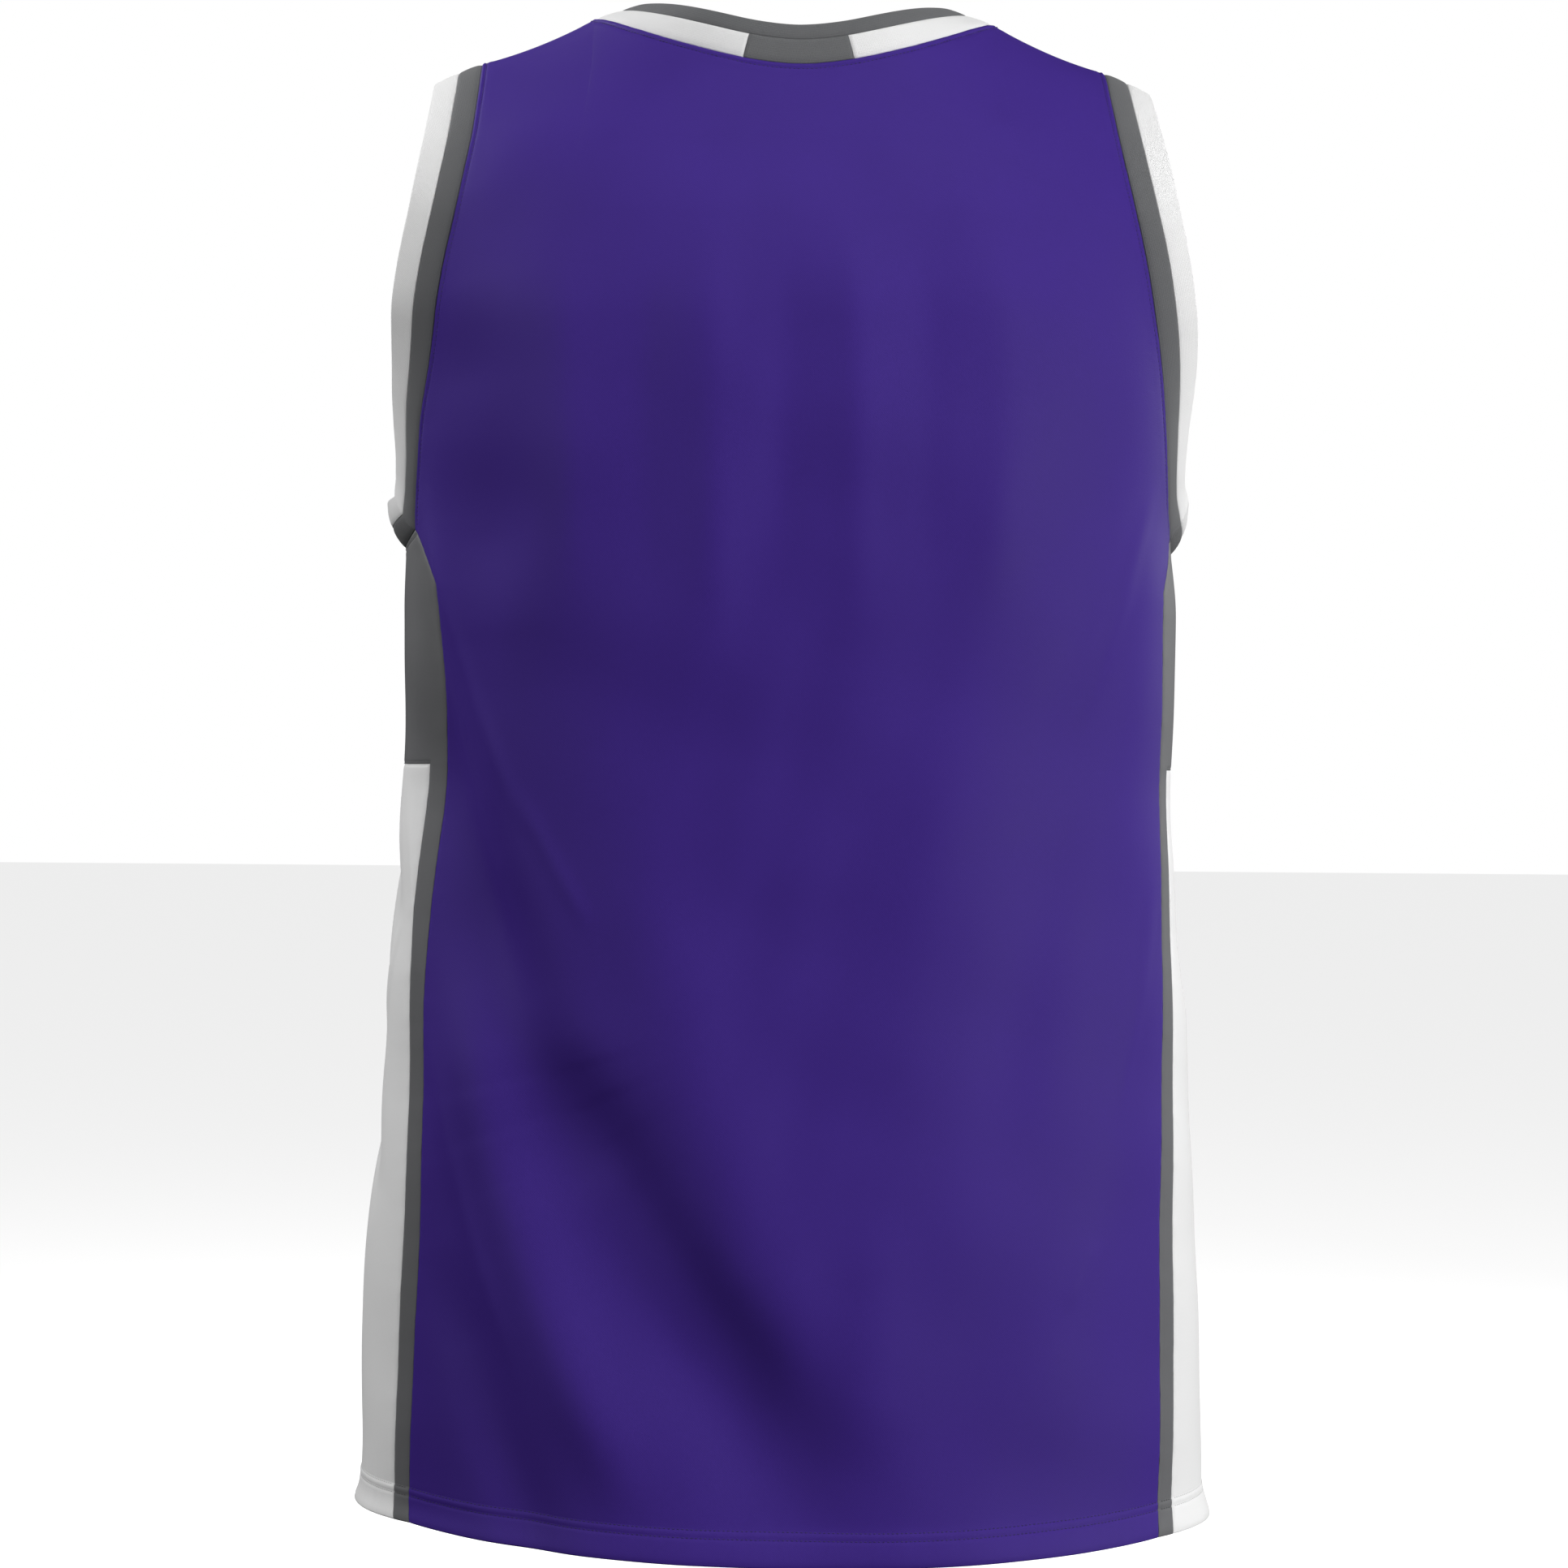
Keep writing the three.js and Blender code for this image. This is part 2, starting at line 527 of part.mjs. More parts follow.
// The armhole ribs turn out sideways from the seam by the shares in RIB_FLARE.
function armRibGrids(seam, side) {
  const { inner, outer } = ARM_RIB;
  const widths = [0, inner / 2, inner, inner + outer / 2, inner + outer];
  const centre = new THREE.Vector3();
  for (const { point } of seam) centre.addScaledVector(point, 1 / seam.length);
  const strips = seam.map(({ point, normal, along }) => {
    const across = new THREE.Vector3(0, -along.z, along.y).normalize();
    if (across.dot(centre.clone().sub(point)) < 0) across.negate();
    const atFoot = new THREE.Vector3(0, centre.y - point.y, FOOT.z - point.z).normalize();
    across.lerp(atFoot, smoothStep((FOOT.start - point.z) / FOOT.ease)).normalize();
    const flare = ["inner", "outer"].map((column) => valueAt(RIB_FLARE, point.z, column));
    const points = [point.clone()];
    const normals = [normal];
    for (let k = 1; k < widths.length; k++) {
      const out = THREE.MathUtils.lerp(flare[0], flare[1], RIB_BLEND[k - 1]);
      const step = new THREE.Vector3(side * out, 0, 0).addScaledVector(across, Math.sqrt(1 - out * out));
      points.push(points[k - 1].clone().addScaledVector(step, widths[k] - widths[k - 1]));
      const facing = step.clone().cross(along).normalize();
      if (facing.dot(normal) < 0) facing.negate();
      normals.push(facing);
    }
    return { points, normals };
  });
  const strip = (indices) =>
    strips.map(({ points, normals }) => {
      const nodes = indices.map((k) => ({ point: points[k].clone(), normal: normals[k] }));
      const last = nodes.length - 1;
      const [first, final] = [nodes[0].point, nodes[last].point];
      nodes[0].point = pullIn(first, nodes[1].point);
      if (indices.at(-1) < widths.length - 1) nodes[last].point = pullIn(final, nodes[last - 1].point);
      return nodes;
    });
  return { inner: strip([0, 1, 2]), outer: strip([2, 3, 4]) };
}

const back = panelGrid("back");
const front = panelGrid("front");
addPiece("back_panel", clothWall(withSeams(back), BODY_CLOTH), PURPLE, CLOTH_ROUGHNESS);
addPiece("front_panel", clothWall(withSeams(front), BODY_CLOTH), PURPLE, CLOTH_ROUGHNESS);

// The neck: a white rib with a grey block at the back, and a grey edge stripe all the way round
const neck = neckSeam(back, front);
const blockFirst = COLUMNS.neck;
const blockLast = blockFirst + 2 * COLUMNS.block;
const whiteSeam = [...neck.slice(blockLast), ...neck.slice(0, blockFirst + 1)];
const blockSeam = neck.slice(blockFirst, blockLast + 1);

const ribGrid = (seam) => neckRibGrid(seam, 0, NECK_RIB - SEAM_GAP / 2);
addPiece("neck_rib", clothWall(withEnds(ribGrid(whiteSeam)), RIB_CLOTH), WHITE, RIB_ROUGHNESS);
addPiece("neck_block", clothWall(withEnds(ribGrid(blockSeam)), RIB_CLOTH), GREY, RIB_ROUGHNESS);
const edgeGrid = neckRibGrid(neck, NECK_RIB, NECK_RIB + NECK_EDGE);
addPiece("neck_edge", clothWall(edgeGrid, RIB_CLOTH, { closed: true }), GREY, RIB_ROUGHNESS);

// Either side: a grey panel round a white inset, and the two ribs of the armhole
const insetShares = Array.from({ length: COLUMNS.inset + 1 }, (_, i) => i / COLUMNS.inset);
const insetColumns = (margin) => insetShares.map((share) => [share, margin * (1 - 2 * share)]);
const insetRows = ROWS.hem + ROWS.inset;
for (const [name, side] of [["left", -1], ["right", 1]]) {
  const frame = sideGrid(side, [[0, 0], ...insetColumns(STRIPE), [1, 0]]);
  const filled = (row, column) => row >= insetRows || column === 0 || column === COLUMNS.inset + 1;
  const frameWall = clothWall(withSeams(frame), BODY_CLOTH, { filled });
  addPiece(`side_panel_${name}`, frameWall, GREY, CLOTH_ROUGHNESS);

  const inset = sideGrid(side, insetColumns(STRIPE + SEAM_GAP)).slice(0, insetRows + 1);
  inset[insetRows].forEach((node, j) => {
    const below = inset[insetRows - 1][j].point;
    node.point = node.point.clone().lerp(below, SEAM_GAP / (INSET_TOP_Z - below.z));
  });
  addPiece(`side_inset_${name}`, clothWall(inset, BODY_CLOTH), WHITE, CLOTH_ROUGHNESS);

  const ribs = armRibGrids(armholeSeam(side, back, front, frame), side);
  const round = { closed: true };
  addPiece(`armhole_rib_${name}`, clothWall(ribs.inner, RIB_CLOTH, round), GREY, RIB_ROUGHNESS);
  addPiece(`armhole_edge_${name}`, clothWall(ribs.outer, RIB_CLOTH, round), WHITE, RIB_ROUGHNESS);
}

export default jersey;
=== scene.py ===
"""A sleeveless basketball jersey, filled out as on a wearer who isn't there.

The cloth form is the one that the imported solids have, on a much finer net: each cut piece is a thin
shell with rounded edges, soft creases, a turned hem and its rows of stitches.
Lengths in the classes are millimetres, and meshes are made in metres.
"""
import logging
import math
from dataclasses import dataclass, field
from enum import Enum
from typing import Sequence

import bpy
import numpy as np
from mathutils import Matrix, Vector
from mathutils.kdtree import KDTree


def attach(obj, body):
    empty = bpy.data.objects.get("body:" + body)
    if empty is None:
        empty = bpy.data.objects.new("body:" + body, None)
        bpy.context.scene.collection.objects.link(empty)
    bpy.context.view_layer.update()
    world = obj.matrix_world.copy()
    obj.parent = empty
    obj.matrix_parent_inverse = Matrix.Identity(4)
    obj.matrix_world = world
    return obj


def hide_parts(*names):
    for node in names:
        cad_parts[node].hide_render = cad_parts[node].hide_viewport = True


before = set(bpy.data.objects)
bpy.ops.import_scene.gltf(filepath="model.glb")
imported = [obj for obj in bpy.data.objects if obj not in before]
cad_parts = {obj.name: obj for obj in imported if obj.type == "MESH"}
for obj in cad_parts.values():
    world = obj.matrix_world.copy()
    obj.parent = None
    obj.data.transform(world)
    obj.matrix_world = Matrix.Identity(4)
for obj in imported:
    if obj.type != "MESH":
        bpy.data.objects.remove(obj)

LOG = logging.getLogger("jersey")
METRES = 0.001
CLOTH_MAP = "cloth_mm"
Table = np.ndarray


class Face(Enum):
    """The two large panels of the body."""

    BACK = "back"
    FRONT = "front"


class Side(Enum):
    """The wearer's two sides; the value is the sign of x."""

    LEFT = -1
    RIGHT = 1

    @property
    def word(self) -> str:
        """The side's name in piece names."""
        return self.name.lower()


def smooth_step(t: np.ndarray) -> np.ndarray:
    """Eases from 0 to 1.

    Args:
        t: Shares, which are cut off at 0 and 1.

    Returns:
        The eased shares.
    """
    c = np.clip(t, 0.0, 1.0)
    return c * c * (3.0 - 2.0 * c)


def value_at(table: Table, z: np.ndarray, column: int) -> np.ndarray:
    """Reads one column of a table smoothly, without overshoot between its rows.

    Args:
        table: Rows from the top down, with the height in column 0.
        z: Heights to read at.
        column: The column to read.

    Returns:
        The column's value at each height.
    """
    heights, values = table[:, 0], table[:, column]
    steps = np.diff(values) / np.diff(heights)
    slopes = np.zeros(len(values))
    above, below = steps[:-1], steps[1:]
    agree = above * below > 0
    slopes[1:-1][agree] = 2 * above[agree] * below[agree] / (above[agree] + below[agree])
    z = np.clip(np.asarray(z, float), heights[-1], heights[0])
    k = np.clip(np.searchsorted(-heights, -z, side="right") - 1, 0, len(heights) - 2)
    span = heights[k + 1] - heights[k]
    t = (z - heights[k]) / span
    ease = t * t * (3 - 2 * t)
    return (
        (1 - ease) * values[k]
        + t * (1 - t) ** 2 * span * slopes[k]
        + ease * values[k + 1]
        - t * t * (1 - t) * span * slopes[k + 1]
    )


@dataclass(frozen=True)
class Crease:
    """A soft ridge or trough along a curve on the cloth.

    Turns are degrees round the body, 0 at the centre back and 90 at the wearer's right side. A lift
    below zero is a trough. lean makes the flank on the greater turn's side steeper.
    """

    turn0: float
    z0: float
    turn1: float
    z1: float
    turn2: float
    z2: float
    width: float
    lift: float
    lean: float = 0.0
    fade: float = 0.3

    MM_PER_DEGREE = 2.9
    STEPS = 12

    def curve(self) -> np.ndarray:
        """Finds the points of the curve.

        Returns:
            Points as distance round the body and height.
        """
        t = np.linspace(0, 1, self.STEPS + 1)[:, None]
        corners = np.array([[self.turn0, self.z0], [self.turn1, self.z1], [self.turn2, self.z2]], float)
        corners[:, 0] *= self.MM_PER_DEGREE
        return (1 - t) ** 2 * corners[0] + 2 * t * (1 - t) * corners[1] + t * t * corners[2]

    def lift_at(self, turn: np.ndarray, z: np.ndarray) -> np.ndarray:
        """Finds how far the crease lifts the cloth.

        Args:
            turn: Degrees round the body.
            z: Heights.

        Returns:
            The lift at each place.
        """
        wrap = 360.0 * np.round((self.turn1 - turn) / 360.0)
        across = (turn + wrap) * self.MM_PER_DEGREE
        line = self.curve()
        reach = 3.2 * self.width
        low, high = line.min(0) - reach, line.max(0) + reach
        near = (across > low[0]) & (across < high[0]) & (z > low[1]) & (z < high[1])
        lift = np.zeros(across.shape)
        if not near.any():
            return lift
        points = np.stack([across[near], z[near]], axis=-1)[:, None]
        start, step = line[:-1], np.diff(line, axis=0)
        along = ((points - start) * step).sum(-1) / (step * step).sum(-1)
        t = np.clip(along, 0, 1)
        gap = points - start - t[..., None] * step
        distance = np.hypot(gap[..., 0], gap[..., 1])
        k = distance.argmin(1)
        rows = np.arange(len(k))
        share = (k + t[rows, k]) / self.STEPS
        fade = smooth_step(share / self.fade) * smooth_step((1 - share) / self.fade)
        side = np.sign(gap[rows, k, 0])
        width = self.width * (1 - self.lean * side)
        lift[near] = self.lift * fade * np.exp(-((distance[rows, k] / width) ** 2))
        return lift


def large_folds() -> list[Crease]:
    """The large folds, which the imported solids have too."""
    rows = [
        (-80, -300, -64, -440, -38, -575, 22, -8.5),
        (-50, -492, -43, -600, 20, -750, 35, -12),
        (-40, -310, -26, -540, 16, -690, 30, 3),
        (-66, -440, -54, -611, -24, -737, 17, 4.5),
        (-64, -590, -54, -670, -42, -765, 14, -4.5),
        (-63, -130, -60, -215, -58, -300, 26, -5),
        (-48, -90, -45, -200, -44, -330, 22, 1.8),
        (-20, -80, -18, -210, -17, -350, 24, 2.4),
        (11, -70, 12, -200, 13, -340, 24, 2.4),
        (40, -80, 40, -190, 38, -310, 23, 2.3),
        (64, -260, 50, -400, 38, -580, 22, -2.8),
        (44, -290, 30, -400, 18, -540, 32, 3),
        (62, -500, 52, -600, 46, -700, 22, 2.2),
        (14, -560, 20, -630, 12, -700, 24, 2.4),
        (-112, -330, -92, -380, -78, -470, 15, -4),
        (-122, -450, -96, -500, -80, -590, 13, -4.5),
        (-108, -540, -92, -600, -84, -700, 20, 1.5),
        (112, -330, 94, -400, 84, -480, 16, -2),
        (118, -250, 140, -400, 168, -520, 20, -4),
        (-118, -250, -138, -410, -160, -560, 20, -4.5),
        (-150, -480, -146, -600, -152, -760, 20, 4.5),
        (150, -520, 146, -640, 148, -760, 18, 4),
        (176, -500, 180, -620, 182, -760, 22, -3.5),
    ]
    return [Crease(*row) for row in rows]


def fine_creases() -> list[Crease]:
    """The small creases, which only show close up; the front's are of the same kind as the back's."""
    rows = [
        # from the left underarm down beside the long fold
        (-74.5, -215, -66, -312, -51.5, -402, 4.5, 1.3),
        (-55, -370, -48, -410, -40, -445, 4, 0.7),
        (-71, -462, -62.5, -560, -49, -665, 4.5, 1.3),
        (-80, -372, -75, -427, -70.5, -482, 3.5, 0.8),
        # where the hollow under the shoulder blade runs into the long fold, and that fold's steep flank
        (-58, -245, -60, -315, -64, -385, 25, -2.8, 0, 0.45),
        (-81, -215, -66.5, -385, -50, -490, 13, -5.2),
        (-50, -480, -31, -575, 2, -675, 14, -1.8),
        # the ripples between the blades, sharper towards their middles
        (-46, -110, -44, -190, -43, -300, 11, 0.7),
        (-19, -100, -17.5, -205, -17, -320, 12, 0.9),
        (11, -90, 12, -195, 13, -310, 12, 0.9),
        (40, -100, 40, -190, 38, -290, 12, 0.8),
        (-3, -90, -4, -190, -4, -300, 13, -0.9),
        (26, -100, 26, -190, 26, -290, 12, -0.8),
        (-31, -110, -31, -190, -31, -300, 12, -0.8),
        # the right side
        (72, -214, 62.5, -270, 55, -332, 5, 0.9),
        (73, -405, 66.5, -472, 59.5, -540, 5, 0.9),
        (56, -585, 53, -604, 50, -622, 4, 0.7),
        (66, -262, 60, -300, 55, -352, 4, 0.6),
        # the left side panel
        (-79, -432, -84, -460, -86, -498, 5, 1.2),
        (-86, -500, -94, -520, -103, -536, 5, -1.0),
        (-88, -505, -96, -470, -108, -440, 6, 1.0),
        # the right side panel
        (86, -300, 92, -330, 100, -372, 5, 0.8),
        (84, -470, 92, -505, 101, -548, 6, 0.9),
        # the front, from both underarms
        (112, -228, 119, -285, 126, -345, 4.5, 1.3),
        (126, -345, 134, -400, 145, -440, 4.5, 0.9),
        (-112, -228, -120, -285, -127, -350, 4.5, 1.3),
        (-127, -350, -136, -405, -148, -450, 4.5, 0.9),
        (-118, -470, -124, -545, -134, -620, 5, 1.1),
        (116, -500, 122, -560, 131, -640, 5, 1.0),
        (-160, -180, -158, -250, -160, -330, 13, 1.5),
        (160, -190, 158, -260, 161, -340, 13, 1.4),
        (180, -150, 179, -230, 180, -300, 14, -1.4),
        (140, -130, 140, -200, 143, -290, 12, -1.3),
        (-140, -130, -140, -200, -143, -290, 12, -1.3),
    ]
    return [Crease(*row) for row in rows]


@dataclass
class BodyForm:
    """The form that the cloth takes, as one closed surface from the hem to the strap line.

    The same named sizes as in the part's source: sections, armholes, side borders and folds.
    """

    neck_half: float = 100.0
    strap_end: float = 156.0
    neck_point_z: float = 11.5
    strap_fall: float = 0.56
    strap_ease: float = 0.0027
    hem_z: float = -738.0
    hem_rise: float = 10.0
    hem_tilt: float = 0.015
    inset_top_z: float = -362.0
    yoke_z: float = -275.0
    underarm_z: float = -247.0
    underarm_dip: float = 8.0
    shoulder_roll: dict[Face, float] = field(default_factory=lambda: {Face.BACK: 80.0, Face.FRONT: 70.0})
    neck_bottom: dict[Face, float] = field(default_factory=lambda: {Face.BACK: -21.0, Face.FRONT: -92.0})
    neck_roundness: dict[Face, float] = field(default_factory=lambda: {Face.BACK: 1.8, Face.FRONT: 2.4})
    creases: list[Crease] = field(default_factory=lambda: large_folds() + fine_creases())

    # height, half the width, depth behind and ahead, and how square the section is
    SECTIONS = np.array([
        (12, 188, 62, 50, 2.4), (-21, 192, 72, 62, 2.4), (-60, 195, 95, 82, 2.4),
        (-100, 197, 114, 102, 2.4), (-150, 198, 126, 120, 2.4), (-204, 194.5, 129, 129, 2.4),
        (-244, 190.8, 128, 131, 2.4), (-286, 193, 126, 130, 2.4), (-362, 192.5, 122, 127, 2.35),
        (-425, 196, 122, 126, 2.3), (-507, 201, 126, 128, 2.25), (-589, 207, 131, 131, 2.2),
        (-670, 209.5, 135, 134, 2.15), (-718, 211, 137, 136, 2.1), (-738, 216, 141, 140, 2.1),
    ])
    # height, and the armhole edge's distance from the centre on the wearer's left and right
    ARMHOLE = {
        Face.BACK: np.array([
            (-11, 156, 156), (-46, 158, 158), (-86, 164.5, 164.5),
            (-125, 172.5, 172.5), (-165, 179.5, 179.2), (-200, 184, 182.6),
            (-218, 185, 184.6), (-232, 186, 186.8), (-247, 187, 189.6),
        ]),
        Face.FRONT: np.array([
            (-11, 156, 156), (-46, 155, 155), (-86, 156.5, 156.5),
            (-125, 161, 161), (-165, 168.5, 168.5), (-200, 178, 178),
            (-218, 182, 182), (-232, 185.2, 185.6), (-247, 187, 188.6),
        ]),
    }
    # height, and the border's distance from the centre on the wearer's left and right
    SIDE_BORDER = np.array([
        (-275, 174, 182.5), (-360, 176.5, 182.5), (-460, 177.5, 183),
        (-560, 178.5, 182), (-650, 181, 181.5), (-738, 182.5, 180.5),
    ])

    def strap_z(self, x: np.ndarray) -> np.ndarray:
        """Height of the strap line at distances from the centre."""
        out = np.abs(x) - self.neck_half
        return self.neck_point_z - self.strap_fall * out + self.strap_ease * out * out

    def neckline_z(self, face: Face, x: np.ndarray) -> np.ndarray:
        """Height of the neckline of one face at distances from the centre."""
        share = np.abs(x / self.neck_half) ** self.neck_roundness[face]
        bottom = self.neck_bottom[face]
        return bottom + (self.neck_point_z - bottom) * share

    def top_z(self, face: Face, x: np.ndarray) -> np.ndarray:
        """Height of the top edge of one face, neckline or strap."""
        return np.where(np.abs(x) < self.neck_half, self.neckline_z(face, x), self.strap_z(x))

    def low_z(self, x: np.ndarray) -> np.ndarray:
        """Height of the hem at distances from the centre."""
        widest = self.SECTIONS[-1, 1]
        return self.hem_z + self.hem_rise * (x / widest) ** 2 - self.hem_tilt * x

    def panel_half(self, face: Face, side: Side, z: np.ndarray) -> np.ndarray:
        """Finds how far a face reaches from the centre: to the side border, yoke or armhole.

        Args:
            face: Back or front.
            side: The wearer's left or right.
            z: Heights.

        Returns:
            The distance at each height.
        """
        column = 2 if side is Side.RIGHT else 1
        armhole = self.ARMHOLE[face]
        share = (z - self.yoke_z) / (self.underarm_z - self.yoke_z)
        yoke = self.SIDE_BORDER[0, column] * (1 - share) + armhole[-1, column] * share
        low = value_at(self.SIDE_BORDER, z, column)
        below = np.where(z <= self.yoke_z, low, yoke)
        return np.where(z >= self.underarm_z, value_at(armhole, z, column), below)

    def ripple(self, turn: np.ndarray, z: np.ndarray) -> np.ndarray:
        """Slight unevenness of real cloth, the same on every run.

        Args:
            turn: Degrees round the body.
            z: Heights.

        Returns:
            The lift at each place.
        """
        dice = np.random.default_rng(23)
        around = np.radians(turn)
        lift = np.zeros(np.broadcast(turn, z).shape)
        for _ in range(16):
            waves = dice.integers(3, 26)
            pitch = dice.uniform(70, 260)
            phase = dice.uniform(0, 2 * math.pi)
            size = 0.26 * (8 / (waves + 5))
            way = dice.choice([-1, 1])
            lift = lift + size * np.sin(waves * around + 2 * math.pi * z / pitch * way + phase)
        return lift * smooth_step((-20 - z) / 60)

    def point(self, angle: np.ndarray, z: np.ndarray) -> np.ndarray:
        """Finds points of the outer cloth.

        Args:
            angle: Section angles, 0 at the centre back and a right angle at the wearer's right.
            z: Heights.

        Returns:
            Points, with x, y and z last.
        """
        square = value_at(self.SECTIONS, z, 4)
        sine, cosine = np.sin(angle), np.cos(angle)
        behind = cosine >= 0
        half = value_at(self.SECTIONS, z, 1)
        depth = np.where(behind, value_at(self.SECTIONS, z, 2), value_at(self.SECTIONS, z, 3))
        rolls = np.where(behind, self.shoulder_roll[Face.BACK], self.shoulder_roll[Face.FRONT])
        x = np.sign(sine) * half * np.abs(sine) ** (2 / square)
        down = np.clip((self.strap_z(x) - z) / rolls, 0, 1)
        y = -np.sign(cosine) * depth * np.abs(cosine) ** (2 / square) * np.sqrt(1 - (1 - down) ** 2)
        out_x = np.sign(x) * np.abs(x / half) ** (square - 1) / half
        out_y = np.sign(y) * np.abs(y / depth) ** (square - 1) / depth
        turn = np.degrees(np.arctan2(x, -y))
        lift = sum(crease.lift_at(turn, z) for crease in self.creases) + self.ripple(turn, z)
        length = np.hypot(out_x, out_y)
        lift = lift / np.where(length > 0, length, 1)
        return np.stack([x + lift * out_x, y + lift * out_y, np.broadcast_to(z, x.shape)], axis=-1)

    def angle_of(self, face: Face, x: np.ndarray, z: np.ndarray) -> np.ndarray:
        """Finds the section angle at distances from the centre plane.

        Args:
            face: Back or front.
            x: Distances from the centre plane.
            z: Heights.

        Returns:
            The angles.
        """
        share = np.clip(np.abs(x) / value_at(self.SECTIONS, z, 1), 0, 1)
        angle = np.sign(x) * np.arcsin(share ** (value_at(self.SECTIONS, z, 4) / 2))
        return angle if face is Face.BACK else math.pi - angle


@dataclass
class ClothNet:
    """A net of cloth points: rows from the bottom up, columns from left to right.

    mm holds each point's place in the cloth, across and along, for knit and rib patterns.
    """

    points: np.ndarray
    normals: np.ndarray
    mm: np.ndarray
    closed: bool = False

    @classmethod
    def through(cls, points: np.ndarray, closed: bool = False,
                outwards: Sequence[float] = (0, 0, 0)) -> "ClothNet":
        """Makes a net through points, with the directions that face away from a point.

        Args:
            points: Rows and columns of points.
            closed: Whether the last row joins the first.
            outwards: A point behind the cloth, which its outer face turns away from.

        Returns:
            The net.
        """
        if closed:
            padded = np.concatenate([points[-1:], points, points[:1]])
            down = np.gradient(padded, axis=0)[1:-1]
        else:
            down = np.gradient(points, axis=0)
        across = np.gradient(points, axis=1)
        normals = np.cross(across, down)
        normals /= np.maximum(np.linalg.norm(normals, axis=-1, keepdims=True), 1e-12)
        middle = (points.shape[0] // 2, points.shape[1] // 2)
        if (normals[middle] * (points[middle] - np.array(outwards))).sum() < 0:
            normals = -normals
        return cls(points, normals, cls.measure(points), closed)

    @staticmethod
    def measure(points: np.ndarray) -> np.ndarray:
        """Finds each point's place in the cloth, as lengths along its middle row and column.

        Args:
            points: Rows and columns of points.

        Returns:
            Lengths across and along.
        """
        rows, columns = points.shape[:2]
        across = np.linalg.norm(np.diff(points, axis=1), axis=-1)
        along = np.linalg.norm(np.diff(points, axis=0), axis=-1)
        u = np.concatenate([np.zeros((rows, 1)), across.cumsum(1)], axis=1)
        v = np.concatenate([np.zeros((1, columns)), along.cumsum(0)], axis=0)
        u -= u[:, columns // 2][:, None]
        return np.stack([u, v], axis=-1)

    def moved(self, lift: np.ndarray) -> "ClothNet":
        """The net with each point moved along its direction by a lift in millimetres."""
        points = self.points + self.normals * lift[..., None]
        return ClothNet(points, self.normals, self.mm, self.closed)


